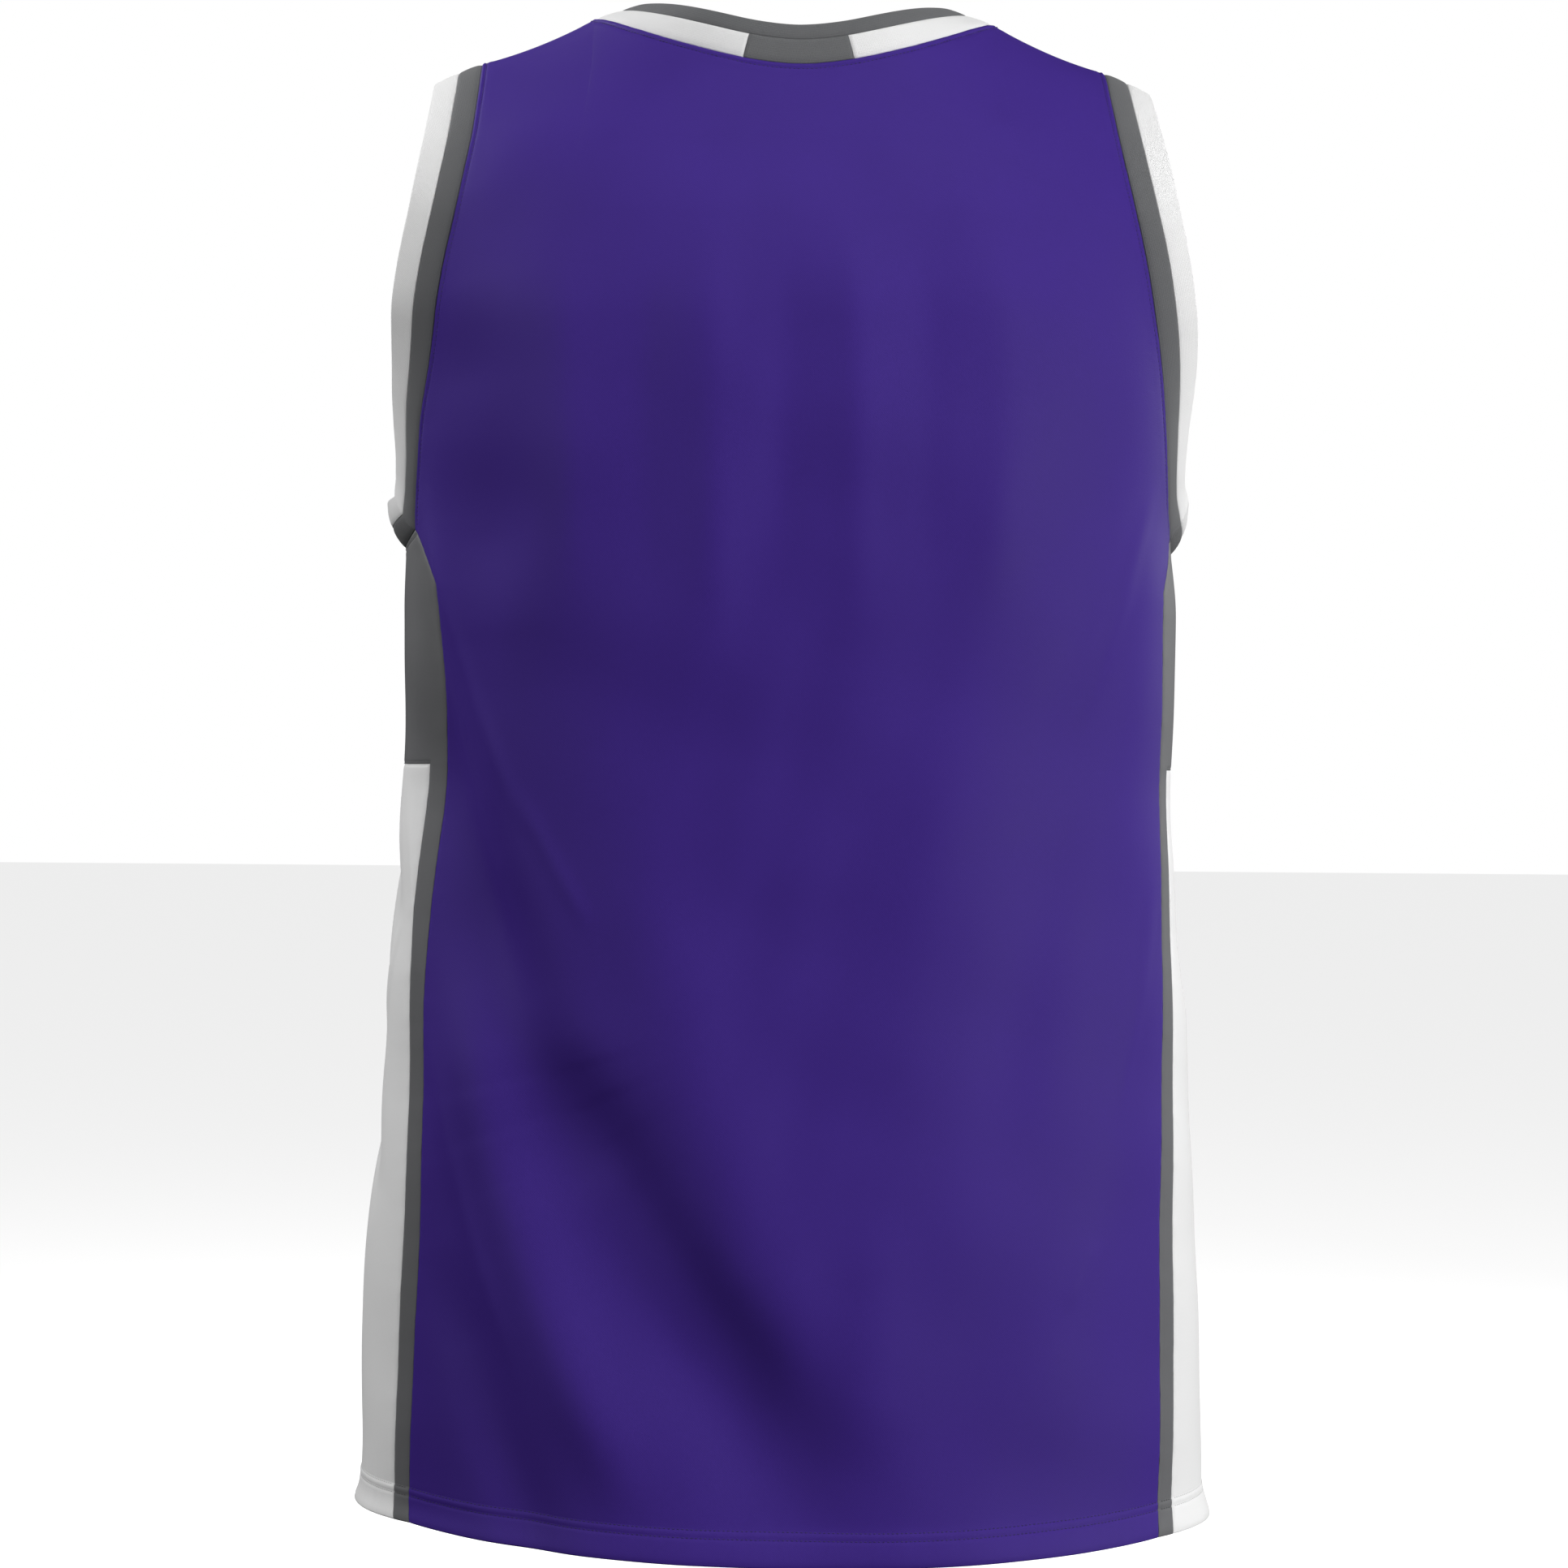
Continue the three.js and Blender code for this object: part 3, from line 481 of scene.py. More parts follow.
@dataclass
class ClothShell:
    """A closed thin wall on a net, with rounded rims.

    Attributes:
        name: The piece's name.
        net: The outer face.
        thickness: How thick the wall is.
        filled: Which cells hold cloth, or None for all.
        rim: How far the rounded rim stands out past the net's edge.
    """

    name: str
    net: ClothNet
    thickness: float | np.ndarray
    filled: np.ndarray | None = None
    rim: float | np.ndarray = 0.12

    def build(self, material: bpy.types.Material, collection: bpy.types.Collection) -> bpy.types.Object:
        """Makes the mesh and its object.

        Args:
            material: The cloth's finish.
            collection: Where the object goes.

        Returns:
            The new object.
        """
        net = self.net
        rows, columns = net.points.shape[:2]
        cell_rows = rows if net.closed else rows - 1
        cells = np.ones((cell_rows, columns - 1), bool) if self.filled is None else self.filled
        index = np.arange(rows * columns).reshape(rows, columns)
        i, j = np.nonzero(cells)
        upper = (i + 1) % rows
        quads = np.stack([index[i, j], index[i, j + 1], index[upper, j + 1], index[upper, j]], axis=1)
        points = net.points.reshape(-1, 3)
        normals = net.normals.reshape(-1, 3)
        first = points[quads[len(quads) // 2]]
        facing = np.cross(first[1] - first[0], first[2] - first[0])
        if facing @ normals[quads[len(quads) // 2][0]] < 0:
            quads = quads[:, ::-1]
        count = len(points)
        faces = [quads, quads[:, ::-1] + count]
        edges = np.concatenate([quads[:, [k, (k + 1) % 4]] for k in range(4)])
        key = edges[:, 0].astype(np.int64) * count + edges[:, 1]
        back = edges[:, 1].astype(np.int64) * count + edges[:, 0]
        rim_edges = edges[~np.isin(key, back)]
        rim_nodes, where = np.unique(rim_edges, return_inverse=True)
        where = where.reshape(rim_edges.shape)
        out = self._outward(points, normals, quads, rim_edges, rim_nodes, where)
        thick = np.broadcast_to(self.thickness, net.points.shape[:2]).reshape(-1, 1)
        rim = np.broadcast_to(self.rim, net.points.shape[:2]).reshape(-1, 1)[rim_nodes] * out
        inner = points - normals * thick
        middle = (points + inner)[rim_nodes] / 2 + rim
        high = (points * 0.85 + inner * 0.15)[rim_nodes] + rim * 0.7
        low = (points * 0.15 + inner * 0.85)[rim_nodes] + rim * 0.7
        base = 2 * count
        rings = [rim_edges] + [where + base + k * len(rim_nodes) for k in range(3)] + [rim_edges + count]
        for near, far in zip(rings[:-1], rings[1:]):
            faces.append(np.stack([near[:, 1], near[:, 0], far[:, 0], far[:, 1]], axis=1))
        every = np.concatenate([points, inner, high, middle, low])
        quads_all = np.concatenate(faces)
        mm = net.mm.reshape(-1, 2)
        place = np.concatenate([mm, mm, mm[rim_nodes], mm[rim_nodes], mm[rim_nodes]])
        used = np.unique(quads_all)
        renumber = np.full(len(every), -1)
        renumber[used] = np.arange(len(used))
        return make_mesh(self.name, every[used], renumber[quads_all], place[used], material, collection)

    @staticmethod
    def _outward(
        points: np.ndarray,
        normals: np.ndarray,
        quads: np.ndarray,
        rim_edges: np.ndarray,
        rim_nodes: np.ndarray,
        where: np.ndarray,
    ) -> np.ndarray:
        """Finds the direction out of the cloth's edge at each node of the rim.

        Args:
            points: The net's points.
            normals: The net's directions.
            quads: The cells that hold cloth.
            rim_edges: Edges with cloth on one side only.
            rim_nodes: The nodes on those edges.
            where: Each edge's nodes as numbers in rim_nodes.

        Returns:
            A unit direction for each node of the rim.
        """
        run = points[rim_edges[:, 1]] - points[rim_edges[:, 0]]
        away = np.cross(run, normals[rim_edges[:, 0]])
        total = np.zeros((len(rim_nodes), 3))
        for end in range(2):
            np.add.at(total, where[:, end], away)
        return total / np.maximum(np.linalg.norm(total, axis=1, keepdims=True), 1e-12)


def make_mesh(
    name: str,
    points: np.ndarray,
    faces: np.ndarray,
    place: np.ndarray | None,
    material: bpy.types.Material,
    collection: bpy.types.Collection,
) -> bpy.types.Object:
    """Makes a smooth-shaded object from arrays.

    Args:
        name: The piece's name.
        points: Points in millimetres.
        faces: Faces of four points each.
        place: Each point's place in the cloth in millimetres, or None.
        material: The finish.
        collection: Where the object goes.

    Returns:
        The new object.
    """
    mesh = bpy.data.meshes.new(name)
    corners = faces.shape[1]
    mesh.vertices.add(len(points))
    mesh.vertices.foreach_set("co", (points * METRES).ravel())
    mesh.loops.add(faces.size)
    mesh.loops.foreach_set("vertex_index", faces.ravel())
    mesh.polygons.add(len(faces))
    mesh.polygons.foreach_set("loop_start", np.arange(0, faces.size, corners))
    mesh.polygons.foreach_set("use_smooth", np.ones(len(faces), bool))
    mesh.update(calc_edges=True)
    if place is not None:
        spots = place[faces]
        # where a closed strip's end meets its start, the place runs on instead of jumping back
        low = spots[..., 1] < spots[..., 1].max(1, keepdims=True) - place[:, 1].max() / 2
        spots[..., 1] += np.where(low, place[:, 1].max(), 0)
        layer = mesh.uv_layers.new(name=CLOTH_MAP)
        layer.data.foreach_set("uv", (spots * METRES).ravel())
    mesh.validate()
    mesh.materials.append(material)
    made = bpy.data.objects.new(name, mesh)
    collection.objects.link(made)
    return made


def dense_near(start: float, stop: float, step: float, marks: Sequence[float]) -> np.ndarray:
    """Spaces distances evenly, after a run of closer ones.

    Args:
        start: Where the even spacing begins.
        stop: Where it ends.
        step: The widest spacing.
        marks: The closer distances that come first.

    Returns:
        All distances, rising.
    """
    count = max(1, math.ceil((stop - start) / step))
    return np.concatenate([np.array(marks), np.linspace(start, stop, count + 1)])


def bump(distance: np.ndarray, centre: float, width: float) -> np.ndarray:
    """A soft bump of height 1 at a distance from an edge."""
    return np.exp(-(((distance - centre) / width) ** 2))


@dataclass(frozen=True)
class EdgeWork:
    """How the cloth lies beside its seams and at its hem, in millimetres."""

    neck_row: float = 3.0
    armhole_row: float = 2.5
    hem_rows: tuple[float, float] = (12.3, 16.0)
    groove: float = 0.34
    puff: float = 0.3
    valley: float = 0.4
    hem_depth: float = 17.0
    hem_swell: float = 0.4
    near: tuple[float, ...] = (0.0, 0.6, 1.2, 1.8, 2.5, 3.2, 4.2)
    hem_marks: tuple[float, ...] = (
        0.0, 0.6, 1.4, 2.6, 4.4, 6.4, 8.4, 10.2, 11.5, 12.3, 13.1, 14.2, 15.2, 16.0, 16.8, 17.8, 19.2,
    )

    def beside_seam(self, distance: np.ndarray) -> np.ndarray:
        """Lift beside a plain seam: a soft valley."""
        return -self.valley * bump(distance, 0, 1.1)

    def beside_stitches(self, distance: np.ndarray, row: float) -> np.ndarray:
        """Finds the lift beside a seam that is stitched down.

        Args:
            distance: Distances from the seam.
            row: The stitches' distance from the seam.

        Returns:
            The lift at each distance.
        """
        return (
            -self.valley * bump(distance, 0, 0.7)
            + self.puff * bump(distance, row * 0.5, row * 0.3)
            - self.groove * bump(distance, row, 0.55)
            + 0.4 * self.puff * bump(distance, row * 1.7, row * 0.5)
        )

    def pucker(self, distance: np.ndarray, along: np.ndarray, seed: int) -> np.ndarray:
        """Finds the small gathers that a seam leaves in the cloth.

        Args:
            distance: Distances from the seam.
            along: Lengths along the seam.
            seed: Which of the like patterns to take.

        Returns:
            The lift at each place.
        """
        dice = np.random.default_rng(seed)
        lift = np.zeros(np.broadcast(distance, along).shape)
        for pitch in (7.3, 10.9, 17.1, 26.0):
            lift = lift + np.sin(2 * math.pi * (along / pitch + dice.random())) * dice.uniform(0.03, 0.07)
        return lift * np.exp(-distance / 6.5)

    def at_hem(self, height: np.ndarray, along: np.ndarray, seed: int) -> np.ndarray:
        """Finds the lift near the turned hem.

        Args:
            height: Heights above the hem's edge.
            along: Lengths along the hem.
            seed: Which of the like patterns to take.

        Returns:
            The lift at each place.
        """
        turned = self.hem_swell * (1 - smooth_step((height - self.hem_depth + 1.6) / 1.6))
        grooves = sum(self.groove * bump(height, row, 0.55) for row in self.hem_rows)
        edge = 0.3 * bump(height, 0, 1.0)
        return turned - grooves - edge + self.pucker(np.abs(height - self.hem_rows[0]), along, seed)

    def wall(self, height: np.ndarray, cloth: float) -> np.ndarray:
        """Thickness of the cloth at heights above the hem's edge: double where it is turned."""
        return cloth + 0.8 * (1 - smooth_step((height - self.hem_depth) / 0.9))


EDGES = EdgeWork()


@dataclass(frozen=True)
class Cut:
    """A piece's flat cut, in metres: the rectangle that it fits and its area."""

    width: float
    length: float
    area: float


@dataclass
class Part:
    """One made piece, with its slot, the imported solids that it stands for, its flat cut and how it is
    held.
    """

    made: bpy.types.Object
    slot: str
    nodes: tuple[str, ...] = ()
    cut: Cut | None = None
    held: str = "stretched"

    def fasten(self, threads: Sequence[bpy.types.Object] = ()) -> None:
        """Rides the piece on the body and hides the imported solids that it stands for.

        Args:
            threads: The stitches that go with a sheet of cloth; not used.
        """
        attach(self.made, "root")
        if self.nodes:
            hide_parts(*self.nodes)


def pulled_in(net: np.ndarray, gap: float, sides: bool = True, top: bool = True) -> np.ndarray:
    """Moves the edges of a net in, to leave half of a seam's gap.

    Args:
        net: Rows and columns of points.
        gap: How far the edges move.
        sides: Whether both side edges move.
        top: Whether the last row moves.

    Returns:
        The moved points.
    """
    made = net.copy()

    def towards(edge: np.ndarray, neighbour: np.ndarray) -> np.ndarray:
        """Edge points moved towards their neighbours."""
        step = neighbour - edge
        return edge + step / np.maximum(np.linalg.norm(step, axis=-1, keepdims=True), 1e-9) * gap

    if sides:
        made[:, 0] = towards(net[:, 0], net[:, 1])
        made[:, -1] = towards(net[:, -1], net[:, -2])
    if top:
        made[-1] = towards(made[-1], made[-2])
    return made


@dataclass
class SeamLine:
    """An evenly spaced line along a seam, with the direction that the body's cloth faces there."""

    points: np.ndarray
    normals: np.ndarray
    closed: bool

    @classmethod
    def through(cls, points: np.ndarray, normals: np.ndarray, closed: bool,
                step: float = 2.2) -> "SeamLine":
        """Makes a line with even steps.

        Args:
            points: Points along the seam.
            normals: The body's directions there.
            closed: Whether the line runs on from its end to its start.
            step: About how far apart the new points are.

        Returns:
            The line.
        """
        if closed:
            points = np.concatenate([points, points[:1]])
            normals = np.concatenate([normals, normals[:1]])
        gaps = np.linalg.norm(np.diff(points, axis=0), axis=1)
        keep = np.concatenate([[True], gaps > 1e-6])
        points, normals = points[keep], normals[keep]
        lengths = np.concatenate([[0], np.linalg.norm(np.diff(points, axis=0), axis=1).cumsum()])
        count = max(4, round(lengths[-1] / step))
        places = np.linspace(0, lengths[-1], count + 1)
        if closed:
            places = places[:-1]
        line = np.stack([np.interp(places, lengths, points[:, k]) for k in range(3)], axis=1)
        faces = np.stack([np.interp(places, lengths, normals[:, k]) for k in range(3)], axis=1)
        faces /= np.linalg.norm(faces, axis=1, keepdims=True)
        return cls(line, faces, closed)

    def along(self) -> np.ndarray:
        """Finds the direction along the seam at each point, evened out a little.

        Returns:
            Unit directions.
        """
        if self.closed:
            run = np.roll(self.points, -1, axis=0) - np.roll(self.points, 1, axis=0)
            for _ in range(3):
                run = (np.roll(run, 1, axis=0) + 2 * run + np.roll(run, -1, axis=0)) / 4
        else:
            run = np.gradient(self.points, axis=0)
        return run / np.linalg.norm(run, axis=1, keepdims=True)

    def nearest(self, points: np.ndarray, within: float) -> tuple[np.ndarray, np.ndarray]:
        """Finds how far points are from the seam, and where along it.

        Args:
            points: Rows and columns of points.
            within: Points further away aren't looked at.

        Returns:
            Distances, infinite where further away, and lengths along the seam.
        """
        fine = SeamLine.through(self.points, self.normals, self.closed, 0.5).points
        tree = KDTree(len(fine))
        for k, place in enumerate(fine):
            tree.insert(place, k)
        tree.balance()
        flat = points.reshape(-1, 3)
        low, high = fine.min(0) - within, fine.max(0) + within
        near = np.nonzero(((flat > low) & (flat < high)).all(1))[0]
        distance, along = np.full(len(flat), np.inf), np.zeros(len(flat))
        for k in near:
            _, place, gap = tree.find(flat[k])
            distance[k], along[k] = gap, place * 0.5
        distance[distance > within] = np.inf
        return distance.reshape(points.shape[:2]), along.reshape(points.shape[:2])


@dataclass
class BodyPanel:
    """The back or front: one large cut of purple knit, from the hem to the neck and straps."""

    form: BodyForm
    face: Face
    cut: Cut
    cloth: float = 1.1
    cell: float = 2.75
    seam_gap: float = 0.15
    net: ClothNet = field(init=False)
    plain: ClothNet = field(init=False)
    underarm_row: int = field(init=False)
    neck_columns: tuple[int, int] = field(init=False)
    side_distance: np.ndarray = field(init=False)
    neck_seam: SeamLine | None = field(default=None, init=False)

    def __post_init__(self) -> None:
        """Lays the net out."""
        shares, tops = self._columns()
        self._lay_net(shares, tops)

    def _columns(self) -> tuple[np.ndarray, np.ndarray]:
        """Places the columns: even along the cloth below, and at the neck and strap above.

        Returns:
            Each column's share of the half width below the underarm, and its distance at the top.
        """
        form = self.form
        across = np.concatenate([
            form.neck_half * np.sin(np.linspace(0, math.pi / 2, 400)),
            np.linspace(form.neck_half, form.strap_end, 120)[1:],
        ])
        top = form.top_z(self.face, across)
        line = form.point(form.angle_of(self.face, across, top), top)
        lengths = np.concatenate([[0], np.linalg.norm(np.diff(line, axis=0), axis=1).cumsum()])
        neck_share = lengths[399] / lengths[-1]
        level = np.full(400, -500.0)
        reach = form.panel_half(self.face, Side.RIGHT, level)[0]
        low_x = reach * np.sin(np.linspace(0, math.pi / 2, 400))
        low_line = form.point(form.angle_of(self.face, low_x, level), level)
        low_lengths = np.concatenate([[0], np.linalg.norm(np.diff(low_line, axis=0), axis=1).cumsum()])
        half_length = low_lengths[-1]
        edge = 1 - np.array(EDGES.near[::-1]) / half_length
        neck_count = round(neck_share * half_length / self.cell)
        strap_count = round((edge[0] - neck_share) * half_length / self.cell)
        places = np.concatenate([
            np.linspace(0, neck_share, neck_count + 1),
            np.linspace(neck_share, edge[0], strap_count + 1)[1:-1],
            edge,
        ])
        shares = np.interp(places, low_lengths / half_length, low_x / reach)
        tops = np.interp(places, lengths / lengths[-1], across)
        self.side_distance = np.concatenate([(1 - places[:0:-1]) * half_length, (1 - places) * half_length])
        middle = len(places) - 1
        self.neck_columns = (middle - neck_count, middle + neck_count)
        return np.concatenate([-shares[:0:-1], shares]), np.concatenate([-tops[:0:-1], tops])

    def _across(self, shares: np.ndarray, top_shares: np.ndarray, top: np.ndarray,
                z: np.ndarray) -> np.ndarray:
        """Finds each column's distance from the centre at some heights.

        Args:
            shares: The columns' shares of the half width below the underarm.
            top_shares: Their shares at the top edge.
            top: Heights of the top edge.
            z: Heights, one row for each row of cloth.

        Returns:
            The distances.
        """
        base = self.form.underarm_z
        share = shares + (top_shares - shares) * smooth_step((z - base) / (top - base))
        right = self.form.panel_half(self.face, Side.RIGHT, z)
        left = self.form.panel_half(self.face, Side.LEFT, z)
        return share * np.where(shares < 0, left, right)

    def _lay_net(self, shares: np.ndarray, tops: np.ndarray) -> None:
        """Finds every point of the net and shapes its edges.

        Args:
            shares: The columns' shares of the half width below the underarm.
            tops: The columns' distances from the centre at the top.
        """
        form = self.form
        top = form.top_z(self.face, tops)
        reach = np.where(
            tops < 0,
            form.panel_half(self.face, Side.LEFT, top),
            form.panel_half(self.face, Side.RIGHT, top),
        )
        top_shares = tops / reach
        low = form.low_z(self._across(shares, top_shares, top, np.full(tops.shape, form.hem_z)))
        start = EDGES.hem_marks[-1]
        zones = [(form.inset_top_z, 0.0), (form.yoke_z, 0.0), (form.underarm_z, 0.0)]
        rows = [low + mark for mark in EDGES.hem_marks]
        bottom = low + start
        for stop, _ in zones:
            count = math.ceil((stop - float(bottom.mean())) / self.cell)
            for k in range(1, count + 1):
                rows.append(bottom + (stop - bottom) * k / count)
            bottom = np.full(tops.shape, stop)
        self.underarm_row = len(rows) - 1
        t = np.linspace(0, 1, 121)[:, None]
        rise = form.underarm_z + (top - form.underarm_z) * (1 - (1 - t) ** 2)
        across = self._across(shares, top_shares, top, rise)
        line = form.point(form.angle_of(self.face, across, rise), rise)
        lengths = np.concatenate([
            np.zeros((1, len(tops))),
            np.linalg.norm(np.diff(line, axis=0), axis=-1).cumsum(0),
        ])
        near = np.array([0.0, 0.5, 1.0, 1.6, 2.3, 3.0, 3.8, 4.8, 6.2])[::-1]
        count = math.ceil((float(lengths[-1].mean()) - near[0]) / self.cell)
        upper = []
        for k in range(len(tops)):
            whole = lengths[-1, k]
            places = np.concatenate([np.linspace(0, whole - near[0], count + 1)[1:-1], whole - near])
            share = np.interp(places, lengths[:, k], t[:, 0])
            upper.append(form.underarm_z + (top[k] - form.underarm_z) * (1 - (1 - share) ** 2))
        z = np.concatenate([np.array(rows), np.array(upper).T])
        z[-1] = top
        across = self._across(shares, top_shares, top, z)
        points = form.point(form.angle_of(self.face, across, z), z)
        behind = (0, 0, -300)
        self.plain = ClothNet.through(points, outwards=behind)
        net = ClothNet.through(pulled_in(points, self.seam_gap), outwards=behind)
        self.net = net.moved(self._edge_lift(points, z - low))

    def _edge_lift(self, points: np.ndarray, height: np.ndarray) -> np.ndarray:
        """Finds the lift from seams, stitches and hem over the whole panel.

        Args:
            points: The net's points.
            height: Heights above the hem's edge.

        Returns:
            The lift at each point.
        """
        seed = 5 if self.face is Face.BACK else 6
        mm = self.plain.mm
        lift = EDGES.at_hem(height, mm[..., 0], seed)
        distance = np.broadcast_to(self.side_distance, height.shape)
        arm = smooth_step((points[..., 2] - self.form.underarm_z + 3) / 6)
        lift += (1 - arm) * EDGES.beside_seam(distance)
        lift += arm * EDGES.beside_stitches(distance, EDGES.armhole_row)
        lift += EDGES.pucker(distance, mm[..., 1], seed + 10)
        from_top = mm[-1, :, 1] - mm[..., 1]
        columns = np.arange(points.shape[1])
        strap = (columns <= self.neck_columns[0]) | (columns >= self.neck_columns[1])
        lift += EDGES.beside_seam(from_top) * strap
        line = self.plain.points[-1, self.neck_columns[0]:self.neck_columns[1] + 1]
        facing = self.plain.normals[-1, self.neck_columns[0]:self.neck_columns[1] + 1]
        self.neck_seam = SeamLine.through(line, facing, closed=False)
        gap, along = self.neck_seam.nearest(points, 14.0)
        lift += EDGES.beside_stitches(gap, EDGES.neck_row) + EDGES.pucker(gap, along, seed + 20)
        return lift

    def stitch_lines(self) -> list[tuple[np.ndarray, np.ndarray]]:
        """Finds the rows of stitches on this panel: both hem rows, both armholes and the neck.

        Returns:
            For each row, its points and the cloth's directions there.
        """
        marks = list(EDGES.hem_marks)
        lines = []
        for row in EDGES.hem_rows:
            k = marks.index(row)
            lines.append((self.net.points[k], self.net.normals[k]))
        offset = EDGES.near.index(EDGES.armhole_row)
        for column in (offset, self.net.points.shape[1] - 1 - offset):
            armhole = (slice(self.underarm_row, None), column)
            lines.append((self.net.points[armhole], self.net.normals[armhole]))
        lines.append(self._neck_line())
        return lines

    def _neck_line(self) -> tuple[np.ndarray, np.ndarray]:
        """Finds the row of stitches under the neck's seam.

        Returns:
            Its points on the cloth and the cloth's directions there.
        """
        seam = self.neck_seam
        inwards = np.cross(seam.along(), seam.normals)
        down = np.where(inwards[:, 2:3] > 0, -1.0, 1.0)
        wanted = seam.points + inwards * down * EDGES.neck_row
        first, last = self.neck_columns
        patch = self.net.points[self.underarm_row:, first - 6:last + 7].reshape(-1, 3)
        facing = self.net.normals[self.underarm_row:, first - 6:last + 7].reshape(-1, 3)
        tree = KDTree(len(patch))
        for k, place in enumerate(patch):
            tree.insert(place, k)
        tree.balance()
        near = np.array([tree.find(place)[1] for place in wanted])
        height = ((wanted - patch[near]) * facing[near]).sum(1, keepdims=True)
        return wanted - facing[near] * height, facing[near]

    def build(self, finish: bpy.types.Material, collection: bpy.types.Collection) -> Part:
        """Makes the panel.

        Args:
            finish: The knit.
            collection: Where the piece goes.

        Returns:
            The piece.
        """
        height = self.net.points[..., 2] - self.form.low_z(self.net.points[..., 0])
        shell = ClothShell(f"{self.face.value}_cloth", self.net, EDGES.wall(height, self.cloth))
        made = shell.build(finish, collection)
        width = np.ptp(self.net.mm[0, :, 0])
        length = np.ptp(self.net.mm[:, len(self.net.mm[0]) // 2, 1])
        LOG.info("%s cloth: %.0f mm wide at the hem, %.0f mm long at the middle",
                 self.face.value, width, length)
        return Part(made, "purple_body", (f"{self.face.value}_panel",), self.cut)


